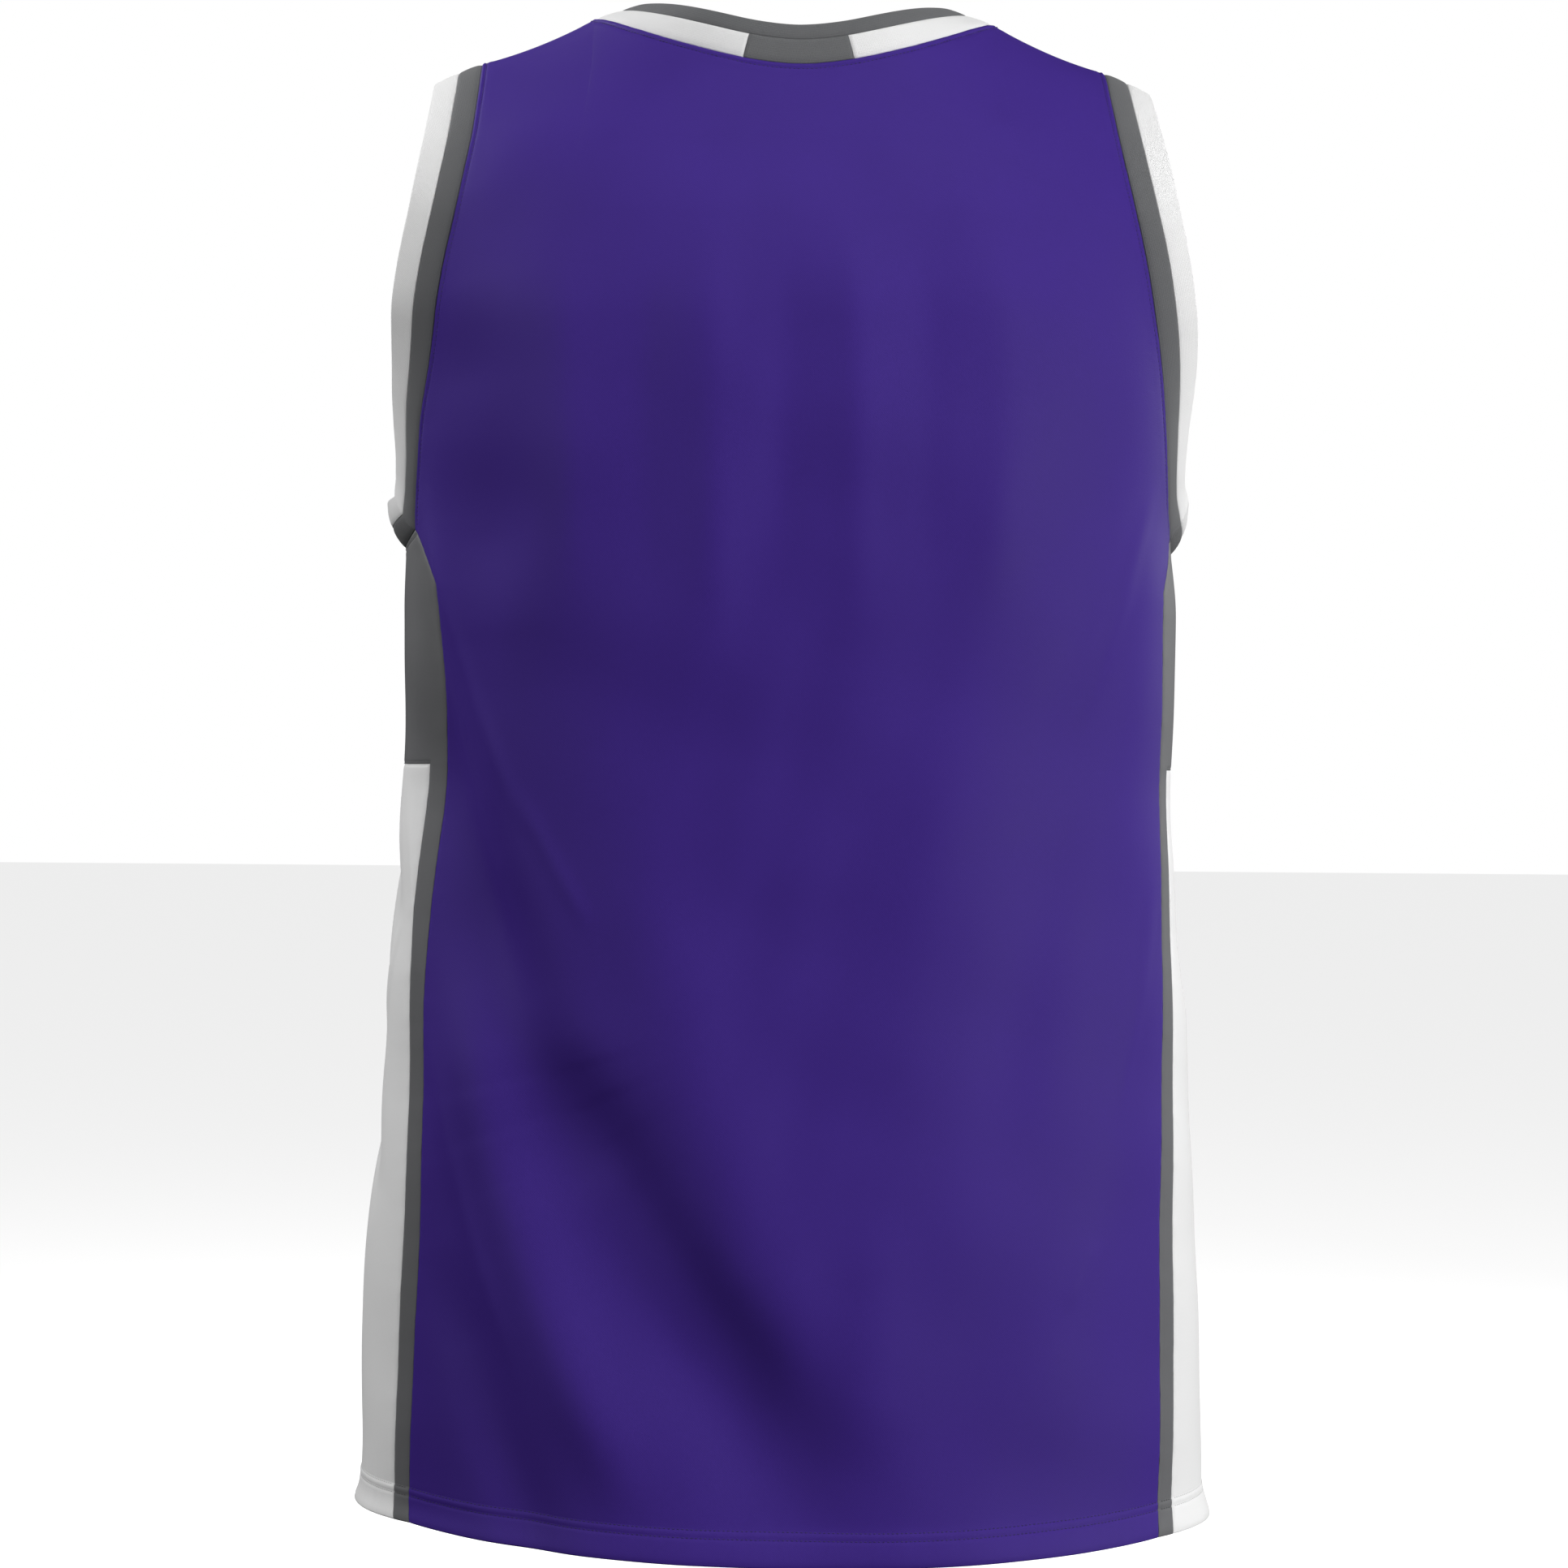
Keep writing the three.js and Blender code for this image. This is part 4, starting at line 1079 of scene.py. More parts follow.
@dataclass
class SidePanel:
    """One side of the body: a grey panel under the arm with a white inset let into it."""

    form: BodyForm
    side: Side
    panel_cut: Cut
    inset_cut: Cut
    stripe: float = 12.5
    cloth: float = 1.1
    cell: float = 2.9
    seam_gap: float = 0.15
    panel: ClothNet = field(init=False)
    inset: ClothNet = field(init=False)
    plain_top: np.ndarray = field(init=False)
    top_facing: np.ndarray = field(init=False)
    filled: np.ndarray = field(init=False)
    hem_height: dict[str, np.ndarray] = field(default_factory=dict, init=False)

    def __post_init__(self) -> None:
        """Lays both nets out."""
        form = self.form
        reach = float(form.panel_half(Face.BACK, self.side, np.array(form.hem_z)))
        low = float(form.low_z(np.array(self.side.value * reach)))
        start = low + EDGES.hem_marks[-1]
        near = np.array([4.2, 3.2, 2.5, 1.8, 1.2, 0.6, 0.0])
        hem = [low + m for m in EDGES.hem_marks[:-1]]
        body = dense_near(start, form.inset_top_z - near[0], self.cell, hem)
        below = np.concatenate([body[:-1], form.inset_top_z - near])
        above = form.inset_top_z + near[::-1][1:]
        yoke = np.linspace(above[-1], form.yoke_z, math.ceil((form.yoke_z - above[-1]) / self.cell) + 1)[1:]
        arm = np.linspace(form.yoke_z, form.underarm_z - near[0], 9)[1:]
        heights = np.concatenate([below, above, yoke, arm[:-1], form.underarm_z - near])
        self._lay_panel(heights, len(below) - 1, low)
        self._lay_inset(below, low)

    def _lengths(self, z: np.ndarray) -> tuple[np.ndarray, np.ndarray]:
        """Measures round the side from the back border to the front one.

        Args:
            z: Heights.

        Returns:
            For each height, sample angles and the length up to each.
        """
        sign = self.side.value
        start = self.form.angle_of(Face.BACK, sign * self.form.panel_half(Face.BACK, self.side, z), z)
        stop = self.form.angle_of(Face.FRONT, sign * self.form.panel_half(Face.FRONT, self.side, z), z)
        if self.side is Side.LEFT:
            stop = stop - 2 * math.pi
        share = np.linspace(0, 1, 161)
        angles = start[:, None] + (stop - start)[:, None] * share
        line = self.form.point(angles, np.broadcast_to(z[:, None], angles.shape))
        steps = np.linalg.norm(np.diff(line, axis=1), axis=-1)
        return angles, np.concatenate([np.zeros((len(z), 1)), steps.cumsum(1)], axis=1)

    def _points(self, z: np.ndarray, margins: np.ndarray, shares: np.ndarray) -> np.ndarray:
        """Finds the net's points.

        Args:
            z: The rows' heights at the borders.
            margins: Each column's own millimetres from the back border.
            shares: Each column's share of the whole width on top of that.

        Returns:
            Rows and columns of points.
        """
        form = self.form
        angles, lengths = self._lengths(z)
        dip = form.underarm_dip * np.clip((z - form.yoke_z) / (form.underarm_z - form.yoke_z), 0, 1)
        made_angles, made_z = [], []
        for k, height in enumerate(z):
            whole = lengths[k, -1]
            target = whole * shares + margins
            made_angles.append(np.interp(target, lengths[k], angles[k]))
            made_z.append(height - dip[k] * np.sin(math.pi * target / whole))
        return form.point(np.array(made_angles), np.array(made_z))

    def _lay_panel(self, z: np.ndarray, inset_row: int, low: float) -> None:
        """Lays out the grey panel, which has no cloth where the inset is.

        Args:
            z: The rows' heights.
            inset_row: The row at the inset's top.
            low: Height of the hem.
        """
        stripe = np.array([0, 0.6, 1.2, 2.4, 4.4, 6.5, 8.5, 10.4, 11.4, 12.0, self.stripe])
        middle = np.linspace(0, 1, 77)[1:-1]
        margins = np.concatenate([stripe, self.stripe * (1 - 2 * middle), -stripe[::-1]])
        shares = np.concatenate([np.zeros(len(stripe)), middle, np.ones(len(stripe))])
        points = self._points(z, margins, shares)
        plain = ClothNet.through(points, outwards=(0, 0, -400))
        self.plain_top, self.top_facing = plain.points[-1], plain.normals[-1]
        net = ClothNet.through(pulled_in(points, self.seam_gap), outwards=(0, 0, -400))
        height = np.broadcast_to((z - low)[:, None], points.shape[:2])
        across = net.mm[..., 0] - net.mm[:, :1, 0]
        edge = np.minimum(across, across[:, -1:] - across)
        lift = EDGES.at_hem(height, net.mm[..., 0], 31 + self.side.value)
        lift += EDGES.beside_seam(edge) * smooth_step((self.form.underarm_z - z[:, None]) / 4)
        hole = np.abs(edge - self.stripe)
        below = z[:, None] <= self.form.inset_top_z
        above = np.where(edge > self.stripe, np.abs(z[:, None] - self.form.inset_top_z), np.inf)
        corner = np.hypot(hole, np.maximum(z[:, None] - self.form.inset_top_z, 0))
        lift += EDGES.beside_seam(np.where(below, hole, np.minimum(above, corner)))
        from_top = self.form.underarm_z - z[:, None]
        lift += EDGES.beside_stitches(np.broadcast_to(from_top, edge.shape), EDGES.armhole_row)
        lift += EDGES.pucker(edge, net.mm[..., 1], 41 + self.side.value)
        self.panel = net.moved(lift)
        self.filled = np.ones((len(z) - 1, len(shares) - 1), bool)
        self.filled[:inset_row, len(stripe) - 1:len(shares) - len(stripe)] = False
        self.hem_height["panel"] = height

    def _lay_inset(self, z: np.ndarray, low: float) -> None:
        """Lays out the white inset.

        Args:
            z: The rows' heights up to the inset's top.
            low: Height of the hem.
        """
        edge = np.array(EDGES.near)
        margin = self.stripe + 2 * self.seam_gap
        middle = np.linspace(0, 1, 71)[1:-1]
        inner = margin + edge[-1]
        margins = np.concatenate([margin + edge, inner * (1 - 2 * middle), -(margin + edge)[::-1]])
        shares = np.concatenate([np.zeros(len(edge)), middle, np.ones(len(edge))])
        heights = z.copy()
        heights[-1] -= 2 * self.seam_gap
        points = self._points(heights, margins, shares)
        net = ClothNet.through(points, outwards=(0, 0, -400))
        height = np.broadcast_to((heights - low)[:, None], points.shape[:2])
        across = net.mm[..., 0] - net.mm[:, :1, 0]
        side = np.minimum(across, across[:, -1:] - across)
        lift = EDGES.at_hem(height, net.mm[..., 0], 51 + self.side.value)
        lift += EDGES.beside_seam(np.minimum(side, heights[-1] - heights[:, None]))
        lift += EDGES.pucker(side, net.mm[..., 1], 61 + self.side.value)
        self.inset = net.moved(lift)
        self.hem_height["inset"] = height

    def stitch_lines(self) -> dict[str, list[tuple[np.ndarray, np.ndarray]]]:
        """Finds the rows of stitches on the panel and the inset.

        Returns:
            For "panel" and "inset", each row's points and the cloth's directions there.
        """
        marks = list(EDGES.hem_marks)
        stripe = 11
        panel, inset = [], []
        for row in EDGES.hem_rows:
            k = marks.index(row)
            for part in (slice(0, stripe), slice(-stripe, None)):
                panel.append((self.panel.points[k, part], self.panel.normals[k, part]))
            inset.append((self.inset.points[k], self.inset.normals[k]))
        k = -1 - EDGES.near.index(EDGES.armhole_row)
        panel.append((self.panel.points[k], self.panel.normals[k]))
        return {"panel": panel, "inset": inset}

    def build(
        self, grey: bpy.types.Material, white: bpy.types.Material, collection: bpy.types.Collection
    ) -> dict[str, Part]:
        """Makes the panel and the inset.

        Args:
            grey: The panel's knit.
            white: The inset's knit.
            collection: Where the pieces go.

        Returns:
            The pieces, under "panel" and "inset".
        """
        word = self.side.word
        LOG.info("side %s: %.0f mm round at the hem, %.0f mm at the widest, inset %.0f by %.0f mm", word,
                 np.ptp(self.panel.mm[0, :, 0]), np.ptp(self.panel.mm[..., 0], axis=1).max(),
                 np.ptp(self.inset.mm[0, :, 0]), np.ptp(self.inset.mm[:, 30, 1]))
        wall = EDGES.wall(self.hem_height["panel"], self.cloth)
        panel = ClothShell(f"side_cloth_{word}", self.panel, wall, self.filled).build(grey, collection)
        wall = EDGES.wall(self.hem_height["inset"], self.cloth)
        inset = ClothShell(f"side_inset_cloth_{word}", self.inset, wall).build(white, collection)
        return {
            "panel": Part(panel, "grey_side", (f"side_panel_{word}",), self.panel_cut),
            "inset": Part(inset, "white_side", (f"side_inset_{word}",), self.inset_cut),
        }


@dataclass
class NeckRib:
    """The neck's rib: white with a grey block at the centre back, and a grey edge stripe."""

    seam: SeamLine
    block_ends: tuple[float, float]
    cuts: dict[str, Cut]
    neck_half: float = 100.0
    rib: float = 13.0
    edge: float = 8.0
    cloth: float = 1.9
    seam_gap: float = 0.15
    stand_back: float = 73.0
    stand_front: float = 60.0
    stand_side: float = 18.0

    def _strip(self, seam: SeamLine, widths: np.ndarray, lift: np.ndarray) -> ClothNet:
        """Stands a strip of rib on the seam.

        Args:
            seam: The stretch of the seam that it stands on.
            widths: The columns' distances from the seam.
            lift: Each column's lift.

        Returns:
            The strip's net.
        """
        along = seam.along()
        points = seam.points
        steepest = np.where(points[:, 1] < 0, self.stand_back, self.stand_front)
        blend = np.clip(np.abs(points[:, 0]) / self.neck_half, 0, 1) ** 3
        rise = np.radians(steepest + (self.stand_side - steepest) * blend)
        inwards = np.stack([-along[:, 1], along[:, 0], np.zeros(len(along))], axis=1)
        inwards *= (np.cos(rise) / np.linalg.norm(inwards, axis=1))[:, None]
        step = inwards + np.stack([np.zeros(len(rise)), np.zeros(len(rise)), np.sin(rise)], axis=1)
        step -= along * (step * along).sum(1, keepdims=True)
        step /= np.linalg.norm(step, axis=1, keepdims=True)
        net = points[:, None] + step[:, None] * widths[None, :, None]
        facing = np.cross(along, step)
        made = ClothNet.through(net, closed=seam.closed)
        flip = np.sign((made.normals * facing[:, None]).sum(-1))
        made = ClothNet(made.points, made.normals * flip[..., None], made.mm, made.closed)
        return made.moved(np.broadcast_to(lift, net.shape[:2]))

    def build(self, white: bpy.types.Material, grey: bpy.types.Material,
              collection: bpy.types.Collection) -> list[Part]:
        """Makes the three pieces.

        Args:
            white: The white rib knit.
            grey: The grey rib knit.
            collection: Where the pieces go.

        Returns:
            The rib, the block and the edge stripe.
        """
        gap = self.seam_gap
        widths = np.array([gap, 0.7, 1.4, 2.6, 4.2, 5.9, 7.6, 9.3, 10.8, 11.8, 12.4, self.rib - gap])
        crown = 0.35 * np.sin(math.pi * widths / self.rib)
        lift = crown - 0.55 * bump(widths, 0, 1.3) - 0.3 * bump(widths, self.rib, 0.8)
        parts = []
        start, stop = self.block_ends
        for name, node, stretch, material, slot in (
            ("neck_rib_cloth", "neck_rib", (stop, start), white, "white_rib"),
            ("neck_block_cloth", "neck_block", (start, stop), grey, "grey_rib"),
        ):
            part = stretch_of(self.seam, *stretch, gap)
            made = ClothShell(name, self._strip(part, widths, lift), self.cloth).build(material, collection)
            parts.append(Part(made, slot, (node,), self.cuts[node]))
        outer = np.array([0, 0.6, 1.3, 2.4, 3.7, 5.0, 6.2, 6.9, 7.3]) + self.rib
        share = (outer - self.rib) / self.edge
        lift = 0.25 * np.sin(math.pi * share) - 0.3 * bump(share, 0, 0.1)
        net = self._strip(self.seam, outer, lift)
        rim = np.zeros(net.points.shape[:2]) + 0.1
        rim[:, -1] = 0.7
        made = ClothShell("neck_edge_cloth", net, self.cloth, rim=rim).build(grey, collection)
        parts.append(Part(made, "grey_rib", ("neck_edge",), self.cuts["neck_edge"]))
        return parts


def stretch_of(seam: SeamLine, start: float, stop: float, gap: float) -> SeamLine:
    """Cuts an open stretch out of a closed seam.

    Args:
        seam: The closed seam.
        start: Length along the seam where the stretch starts.
        stop: Length where it ends, past the seam's own end if it is less than start.
        gap: How much is left off at both ends.

    Returns:
        The stretch.
    """
    points = np.concatenate([seam.points, seam.points, seam.points[:1]])
    normals = np.concatenate([seam.normals, seam.normals, seam.normals[:1]])
    lengths = np.concatenate([[0], np.linalg.norm(np.diff(points, axis=0), axis=1).cumsum()])
    whole = lengths[len(seam.points)]
    if stop < start:
        stop += whole
    count = max(4, round((stop - start) / 2.2))
    places = np.linspace(start + gap, stop - gap, count + 1)
    line = np.stack([np.interp(places, lengths, points[:, k]) for k in range(3)], axis=1)
    faces = np.stack([np.interp(places, lengths, normals[:, k]) for k in range(3)], axis=1)
    return SeamLine(line, faces / np.linalg.norm(faces, axis=1, keepdims=True), False)


@dataclass
class ArmholeRibs:
    """The two ribs round one armhole: grey beside the body, and white outside it."""

    seam: SeamLine
    side: Side
    cuts: dict[str, Cut]
    inner: float = 12.5
    outer: float = 13.5
    cloth: float = 1.9
    seam_gap: float = 0.15
    foot_z: float = -205.0
    foot_start: float = -203.0
    foot_ease: float = 24.0

    # height, and how far the inner and outer rib stand out sideways as a share of their width
    FLARE = np.array([
        (-11, 0.93, 0.9), (-58, 0.96, 0.93), (-99, 0.95, 0.87), (-140, 0.9, 0.82), (-160, 0.82, 0.74),
        (-180, 0.7, 0.62), (-200, 0.56, 0.5), (-218, 0.48, 0.42), (-232, 0.46, 0.38), (-247, 0.55, 0.3),
        (-255, 0.62, 0.15),
    ])

    def _whole(self, widths: np.ndarray) -> np.ndarray:
        """Finds the points of both ribs together.

        Args:
            widths: Distances from the seam, rising from 0.

        Returns:
            A row of points for each point of the seam.
        """
        points, along = self.seam.points, self.seam.along()
        across = np.stack([np.zeros(len(along)), -along[:, 2], along[:, 1]], axis=1)
        across /= np.linalg.norm(across, axis=1, keepdims=True)
        inwards = (across * (points.mean(0) - points)).sum(1)
        across *= np.where(inwards < 0, -1.0, 1.0)[:, None]
        at_foot = np.stack([np.zeros(len(across)), points[:, 1].mean() - points[:, 1],
                            self.foot_z - points[:, 2]], axis=1)
        at_foot /= np.linalg.norm(at_foot, axis=1, keepdims=True)
        turned = smooth_step((self.foot_start - points[:, 2]) / self.foot_ease)[:, None]
        across = across * (1 - turned) + at_foot * turned
        across /= np.linalg.norm(across, axis=1, keepdims=True)
        near = value_at(self.FLARE, points[:, 2], 1)
        far = value_at(self.FLARE, points[:, 2], 2)
        made = [points]
        for k in range(1, len(widths)):
            middle = (widths[k] + widths[k - 1]) / 2
            blend = smooth_step(np.array((middle - 3.1) / 19.5))
            out = near + (far - near) * blend
            step = across * np.sqrt(1 - out * out)[:, None]
            step[:, 0] += self.side.value * out
            made.append(made[-1] + step * (widths[k] - widths[k - 1]))
        return np.stack(made, axis=1)

    def build(self, grey: bpy.types.Material, white: bpy.types.Material,
              collection: bpy.types.Collection) -> list[Part]:
        """Makes both ribs.

        Args:
            grey: The grey rib knit.
            white: The white rib knit.
            collection: Where the pieces go.

        Returns:
            The inner and the outer rib.
        """
        gap, edge = self.seam_gap, self.inner
        widths = np.array([
            0, gap, 0.7, 1.4, 2.6, 4.2, 5.9, 7.6, 9.2, 10.6, 11.5, 12.0, edge - gap,
            edge + gap, 13.1, 13.7, 14.8, 16.4, 18.2, 20.0, 21.8, 23.4, 24.5, 25.1, 25.4,
        ])
        points = self._whole(widths)
        word = self.side.word
        parts = []
        cut_at = 13
        inner, outer = widths[1:cut_at], widths[cut_at:]
        lift = 0.35 * np.sin(math.pi * inner / edge) - 0.55 * bump(inner, 0, 1.4)
        lift = lift - 0.3 * bump(inner, edge, 0.8)
        share = (outer - edge) / self.outer
        white_lift = 0.35 * np.sin(math.pi * share) - 0.3 * bump(outer, edge, 0.8)
        for name, node, cells, rise, material, slot in (
            (f"armhole_rib_cloth_{word}", f"armhole_rib_{word}", slice(1, cut_at), lift, grey, "grey_rib"),
            (f"armhole_edge_cloth_{word}", f"armhole_edge_{word}", slice(cut_at, None), white_lift, white,
             "white_rib"),
        ):
            net = ClothNet.through(points[:, cells], closed=True)
            flip = np.sign((net.normals[:, 0] * self.seam.normals).sum(-1).sum())
            net = ClothNet(net.points, net.normals * flip, net.mm, True)
            net = net.moved(np.broadcast_to(rise, net.points.shape[:2]))
            rim = np.zeros(net.points.shape[:2]) + 0.1
            if node.startswith("armhole_edge"):
                rim[:, -1] = 0.8
            made = ClothShell(name, net, self.cloth, rim=rim).build(material, collection)
            parts.append(Part(made, slot, (node,), self.cuts[node]))
        return parts


@dataclass(frozen=True)
class Stitching:
    """Rows of small raised stitches that lie in the cloth's grooves."""

    length: float = 1.35
    pitch: float = 2.15
    thick: float = 0.5
    sides: int = 6

    def _stitch(self) -> tuple[np.ndarray, np.ndarray]:
        """Makes one stitch along x, with y across and z up.

        Returns:
            Its points and its faces.
        """
        half = self.length / 2
        rings = [(-half, 0.25), (-half * 0.72, 0.85), (0.0, 1.0), (half * 0.72, 0.85), (half, 0.25)]
        turn = np.linspace(0, 2 * math.pi, self.sides, endpoint=False)
        points = []
        for place, share in rings:
            radius = self.thick / 2 * share
            sink = -0.28 * (1 - share)
            points.append(np.stack([
                np.full(self.sides, place), radius * np.cos(turn), radius * np.sin(turn) + sink,
            ], axis=1))
        faces = []
        for ring in range(len(rings) - 1):
            for k in range(self.sides):
                a, b = ring * self.sides + k, ring * self.sides + (k + 1) % self.sides
                faces.append((a, a + self.sides, b + self.sides, b))
        last = (len(rings) - 1) * self.sides
        for base, flip in ((0, 1), (last, -1)):
            for quad in ((0, 1, 2, 3), (0, 3, 4, 5)):
                faces.append(tuple(base + k for k in quad[::flip]))
        return np.concatenate(points), np.array(faces)

    def sew(
        self,
        name: str,
        lines: Sequence[tuple[np.ndarray, np.ndarray]],
        thread: bpy.types.Material,
        collection: bpy.types.Collection,
    ) -> bpy.types.Object:
        """Makes all the stitches of one cut piece.

        Args:
            name: The piece's name.
            lines: For each row, its points and the cloth's directions there.
            thread: The thread's finish.
            collection: Where the piece goes.

        Returns:
            The new object.
        """
        shape, faces = self._stitch()
        every, each = [], []
        for points, normals in lines:
            lengths = np.concatenate([[0], np.linalg.norm(np.diff(points, axis=0), axis=1).cumsum()])
            count = int((lengths[-1] - self.pitch) / self.pitch)
            if count < 1:
                continue
            slack = (lengths[-1] - count * self.pitch) / 2
            places = slack + self.pitch * (np.arange(count) + 0.5)

            def at(values: np.ndarray, where: np.ndarray) -> np.ndarray:
                """Values along the row at some lengths."""
                return np.stack([np.interp(where, lengths, values[:, k]) for k in range(3)], axis=1)

            centre, up = at(points, places), at(normals, places)
            run = at(points, places + 0.5) - at(points, places - 0.5)
            run /= np.linalg.norm(run, axis=1, keepdims=True)
            up -= run * (up * run).sum(1, keepdims=True)
            up /= np.linalg.norm(up, axis=1, keepdims=True)
            side = np.cross(up, run)
            for c, x, y, z in zip(centre, run, side, up):
                each.append(faces + len(every) * len(shape))
                every.append(c + shape[:, :1] * x + shape[:, 1:2] * y + (shape[:, 2:] + 0.06) * z)
        points = np.concatenate(every)
        return make_mesh(name, points, np.concatenate(each), None, thread, collection)


class Weave(Enum):
    """The kinds of knit."""

    SMOOTH = "smooth knit"
    RIB = "rib knit"
    THREAD = "thread"


@dataclass(frozen=True)
class Finish:
    """A dyed cloth: its colour, with the slight unevenness, sheen and relief of its knit.

    Attributes:
        name: The material's name.
        weave: Which kind of knit.
        colour: The dye, as linear light.
        roughness: The surface's roughness.
        sheen: How strong the fuzz of fine fibres is.
        uneven: How much the dye varies.
        relief: Depth of the knit's relief in millimetres.
        gloss: How strongly the surface reflects.
    """

    name: str
    weave: Weave
    colour: tuple[float, float, float]
    roughness: float = 0.6
    sheen: float = 0.1
    uneven: float = 0.05
    relief: float = 0.06
    gloss: float = 0.3

    def make(self) -> bpy.types.Material:
        """Makes the material with its nodes.

        Returns:
            The material.
        """
        material = bpy.data.materials.new(self.name)
        material.use_nodes = True
        tree = material.node_tree
        tree.nodes.clear()
        output = tree.nodes.new("ShaderNodeOutputMaterial")
        shader = tree.nodes.new("ShaderNodeBsdfPrincipled")
        tree.links.new(shader.outputs["BSDF"], output.inputs["Surface"])
        shader.inputs["Sheen Weight"].default_value = self.sheen
        shader.inputs["Sheen Roughness"].default_value = 0.5
        shader.inputs["Specular IOR Level"].default_value = self.gloss
        place = self._place(tree)
        self._dye(tree, place, shader)
        self._relief(tree, place, shader)
        return material

    def _place(self, tree: bpy.types.NodeTree) -> bpy.types.NodeSocket:
        """Reads the place in the cloth, in metres.

        Args:
            tree: The material's nodes.

        Returns:
            The socket with the place.
        """
        if self.weave is Weave.THREAD:
            node = tree.nodes.new("ShaderNodeTexCoord")
            return node.outputs["Object"]
        node = tree.nodes.new("ShaderNodeUVMap")
        node.uv_map = CLOTH_MAP
        return node.outputs["UV"]

    def _noise(self, tree: bpy.types.NodeTree, place: bpy.types.NodeSocket, scale: float,
               detail: float) -> bpy.types.NodeSocket:
        """Adds a noise pattern.

        Args:
            tree: The material's nodes.
            place: The place in the cloth.
            scale: The pattern's scale, per metre.
            detail: How many finer layers it has.

        Returns:
            The socket with the pattern.
        """
        noise = tree.nodes.new("ShaderNodeTexNoise")
        noise.inputs["Scale"].default_value = scale
        noise.inputs["Detail"].default_value = detail
        noise.inputs["Roughness"].default_value = 0.55
        tree.links.new(place, noise.inputs["Vector"])
        return noise.outputs["Fac"]

    def _math(self, tree: bpy.types.NodeTree, operation: str, first: bpy.types.NodeSocket,
              second: bpy.types.NodeSocket | float = 0.0) -> bpy.types.NodeSocket:
        """Adds a sum, product or other calculation.

        Args:
            tree: The material's nodes.
            operation: The node's operation.
            first: Its first value.
            second: Its second value.

        Returns:
            The result.
        """
        node = tree.nodes.new("ShaderNodeMath")
        node.operation = operation
        tree.links.new(first, node.inputs[0])
        if isinstance(second, (int, float)):
            node.inputs[1].default_value = second
        else:
            tree.links.new(second, node.inputs[1])
        return node.outputs[0]

    def _dye(self, tree: bpy.types.NodeTree, place: bpy.types.NodeSocket, shader: bpy.types.Node) -> None:
        """Gives the cloth its colour and roughness, with slow and fine unevenness.

        Args:
            tree: The material's nodes.
            place: The place in the cloth.
            shader: The surface shader.
        """
        slow = self._noise(tree, place, 14, 3)
        fine = self._noise(tree, place, 900, 2)
        slow_part = self._math(tree, "MULTIPLY", slow, 0.65)
        fine_part = self._math(tree, "MULTIPLY", fine, 0.35)
        both = self._math(tree, "ADD", slow_part, fine_part)
        ramp = tree.nodes.new("ShaderNodeValToRGB")
        factors = (1 - self.uneven, 1 + self.uneven)
        for stop, position, factor in zip(ramp.color_ramp.elements, (0.25, 0.75), factors):
            stop.position = position
            stop.color = (*(min(1.0, c * factor) for c in self.colour), 1)
        tree.links.new(both, ramp.inputs["Fac"])
        tree.links.new(ramp.outputs["Color"], shader.inputs["Base Color"])
        dull = self._math(tree, "ADD", self._math(tree, "MULTIPLY", slow, 0.12), self.roughness - 0.06)
        tree.links.new(dull, shader.inputs["Roughness"])

    def _relief(self, tree: bpy.types.NodeTree, place: bpy.types.NodeSocket, shader: bpy.types.Node) -> None:
        """Gives the cloth the relief of its knit.

        Args:
            tree: The material's nodes.
            place: The place in the cloth.
            shader: The surface shader.
        """
        if self.weave is Weave.THREAD:
            height = self._noise(tree, place, 2600, 1)
        else:
            pitch = {Weave.SMOOTH: (0.9, 0.7), Weave.RIB: (0.8, 0.8)}[self.weave]
            parts = tree.nodes.new("ShaderNodeSeparateXYZ")
            tree.links.new(place, parts.inputs[0])
            waves = []
            for axis, size in zip(("X", "Y"), pitch):
                turn = self._math(tree, "MULTIPLY", parts.outputs[axis], 2 * math.pi / (size * METRES))
                waves.append(self._math(tree, "SINE", turn))
            if self.weave is Weave.RIB:
                height = self._math(tree, "MAXIMUM", waves[0], waves[1])
            else:
                height = self._math(tree, "MULTIPLY", waves[0], waves[1])
            grain = self._noise(tree, place, 1500, 2)
            height = self._math(tree, "ADD", self._math(tree, "MULTIPLY", height, 0.5), grain)
        relief = tree.nodes.new("ShaderNodeBump")
        relief.inputs["Strength"].default_value = 0.6
        relief.inputs["Distance"].default_value = self.relief * METRES
        tree.links.new(height, relief.inputs["Height"])
        tree.links.new(relief.outputs["Normal"], shader.inputs["Normal"])


@dataclass(frozen=True)
class Dyes:
    """Every finish of the jersey."""

    purple: Finish = Finish("purple_knit", Weave.SMOOTH, (0.049, 0.0195, 0.238), 0.62, 0.0, 0.06, gloss=0.14)
    grey: Finish = Finish("grey_knit", Weave.SMOOTH, (0.128, 0.130, 0.136), 0.6, 0.05, 0.05)
    white: Finish = Finish("white_knit", Weave.SMOOTH, (0.86, 0.86, 0.86), 0.6, 0.05, 0.025)
    grey_rib: Finish = Finish("grey_rib_knit", Weave.RIB, (0.125, 0.128, 0.133), 0.75, 0.1, 0.06, 0.16)
    white_rib: Finish = Finish("white_rib_knit", Weave.RIB, (0.86, 0.86, 0.86), 0.75, 0.1, 0.025, 0.16)
    purple_thread: Finish = Finish("purple_thread", Weave.THREAD, (0.030, 0.017, 0.115), 0.5, 0.0, 0.08)
    grey_thread: Finish = Finish("grey_thread", Weave.THREAD, (0.07, 0.071, 0.074), 0.5, 0.0, 0.08)
    white_thread: Finish = Finish("white_thread", Weave.THREAD, (0.62, 0.62, 0.62), 0.5, 0.0, 0.03)


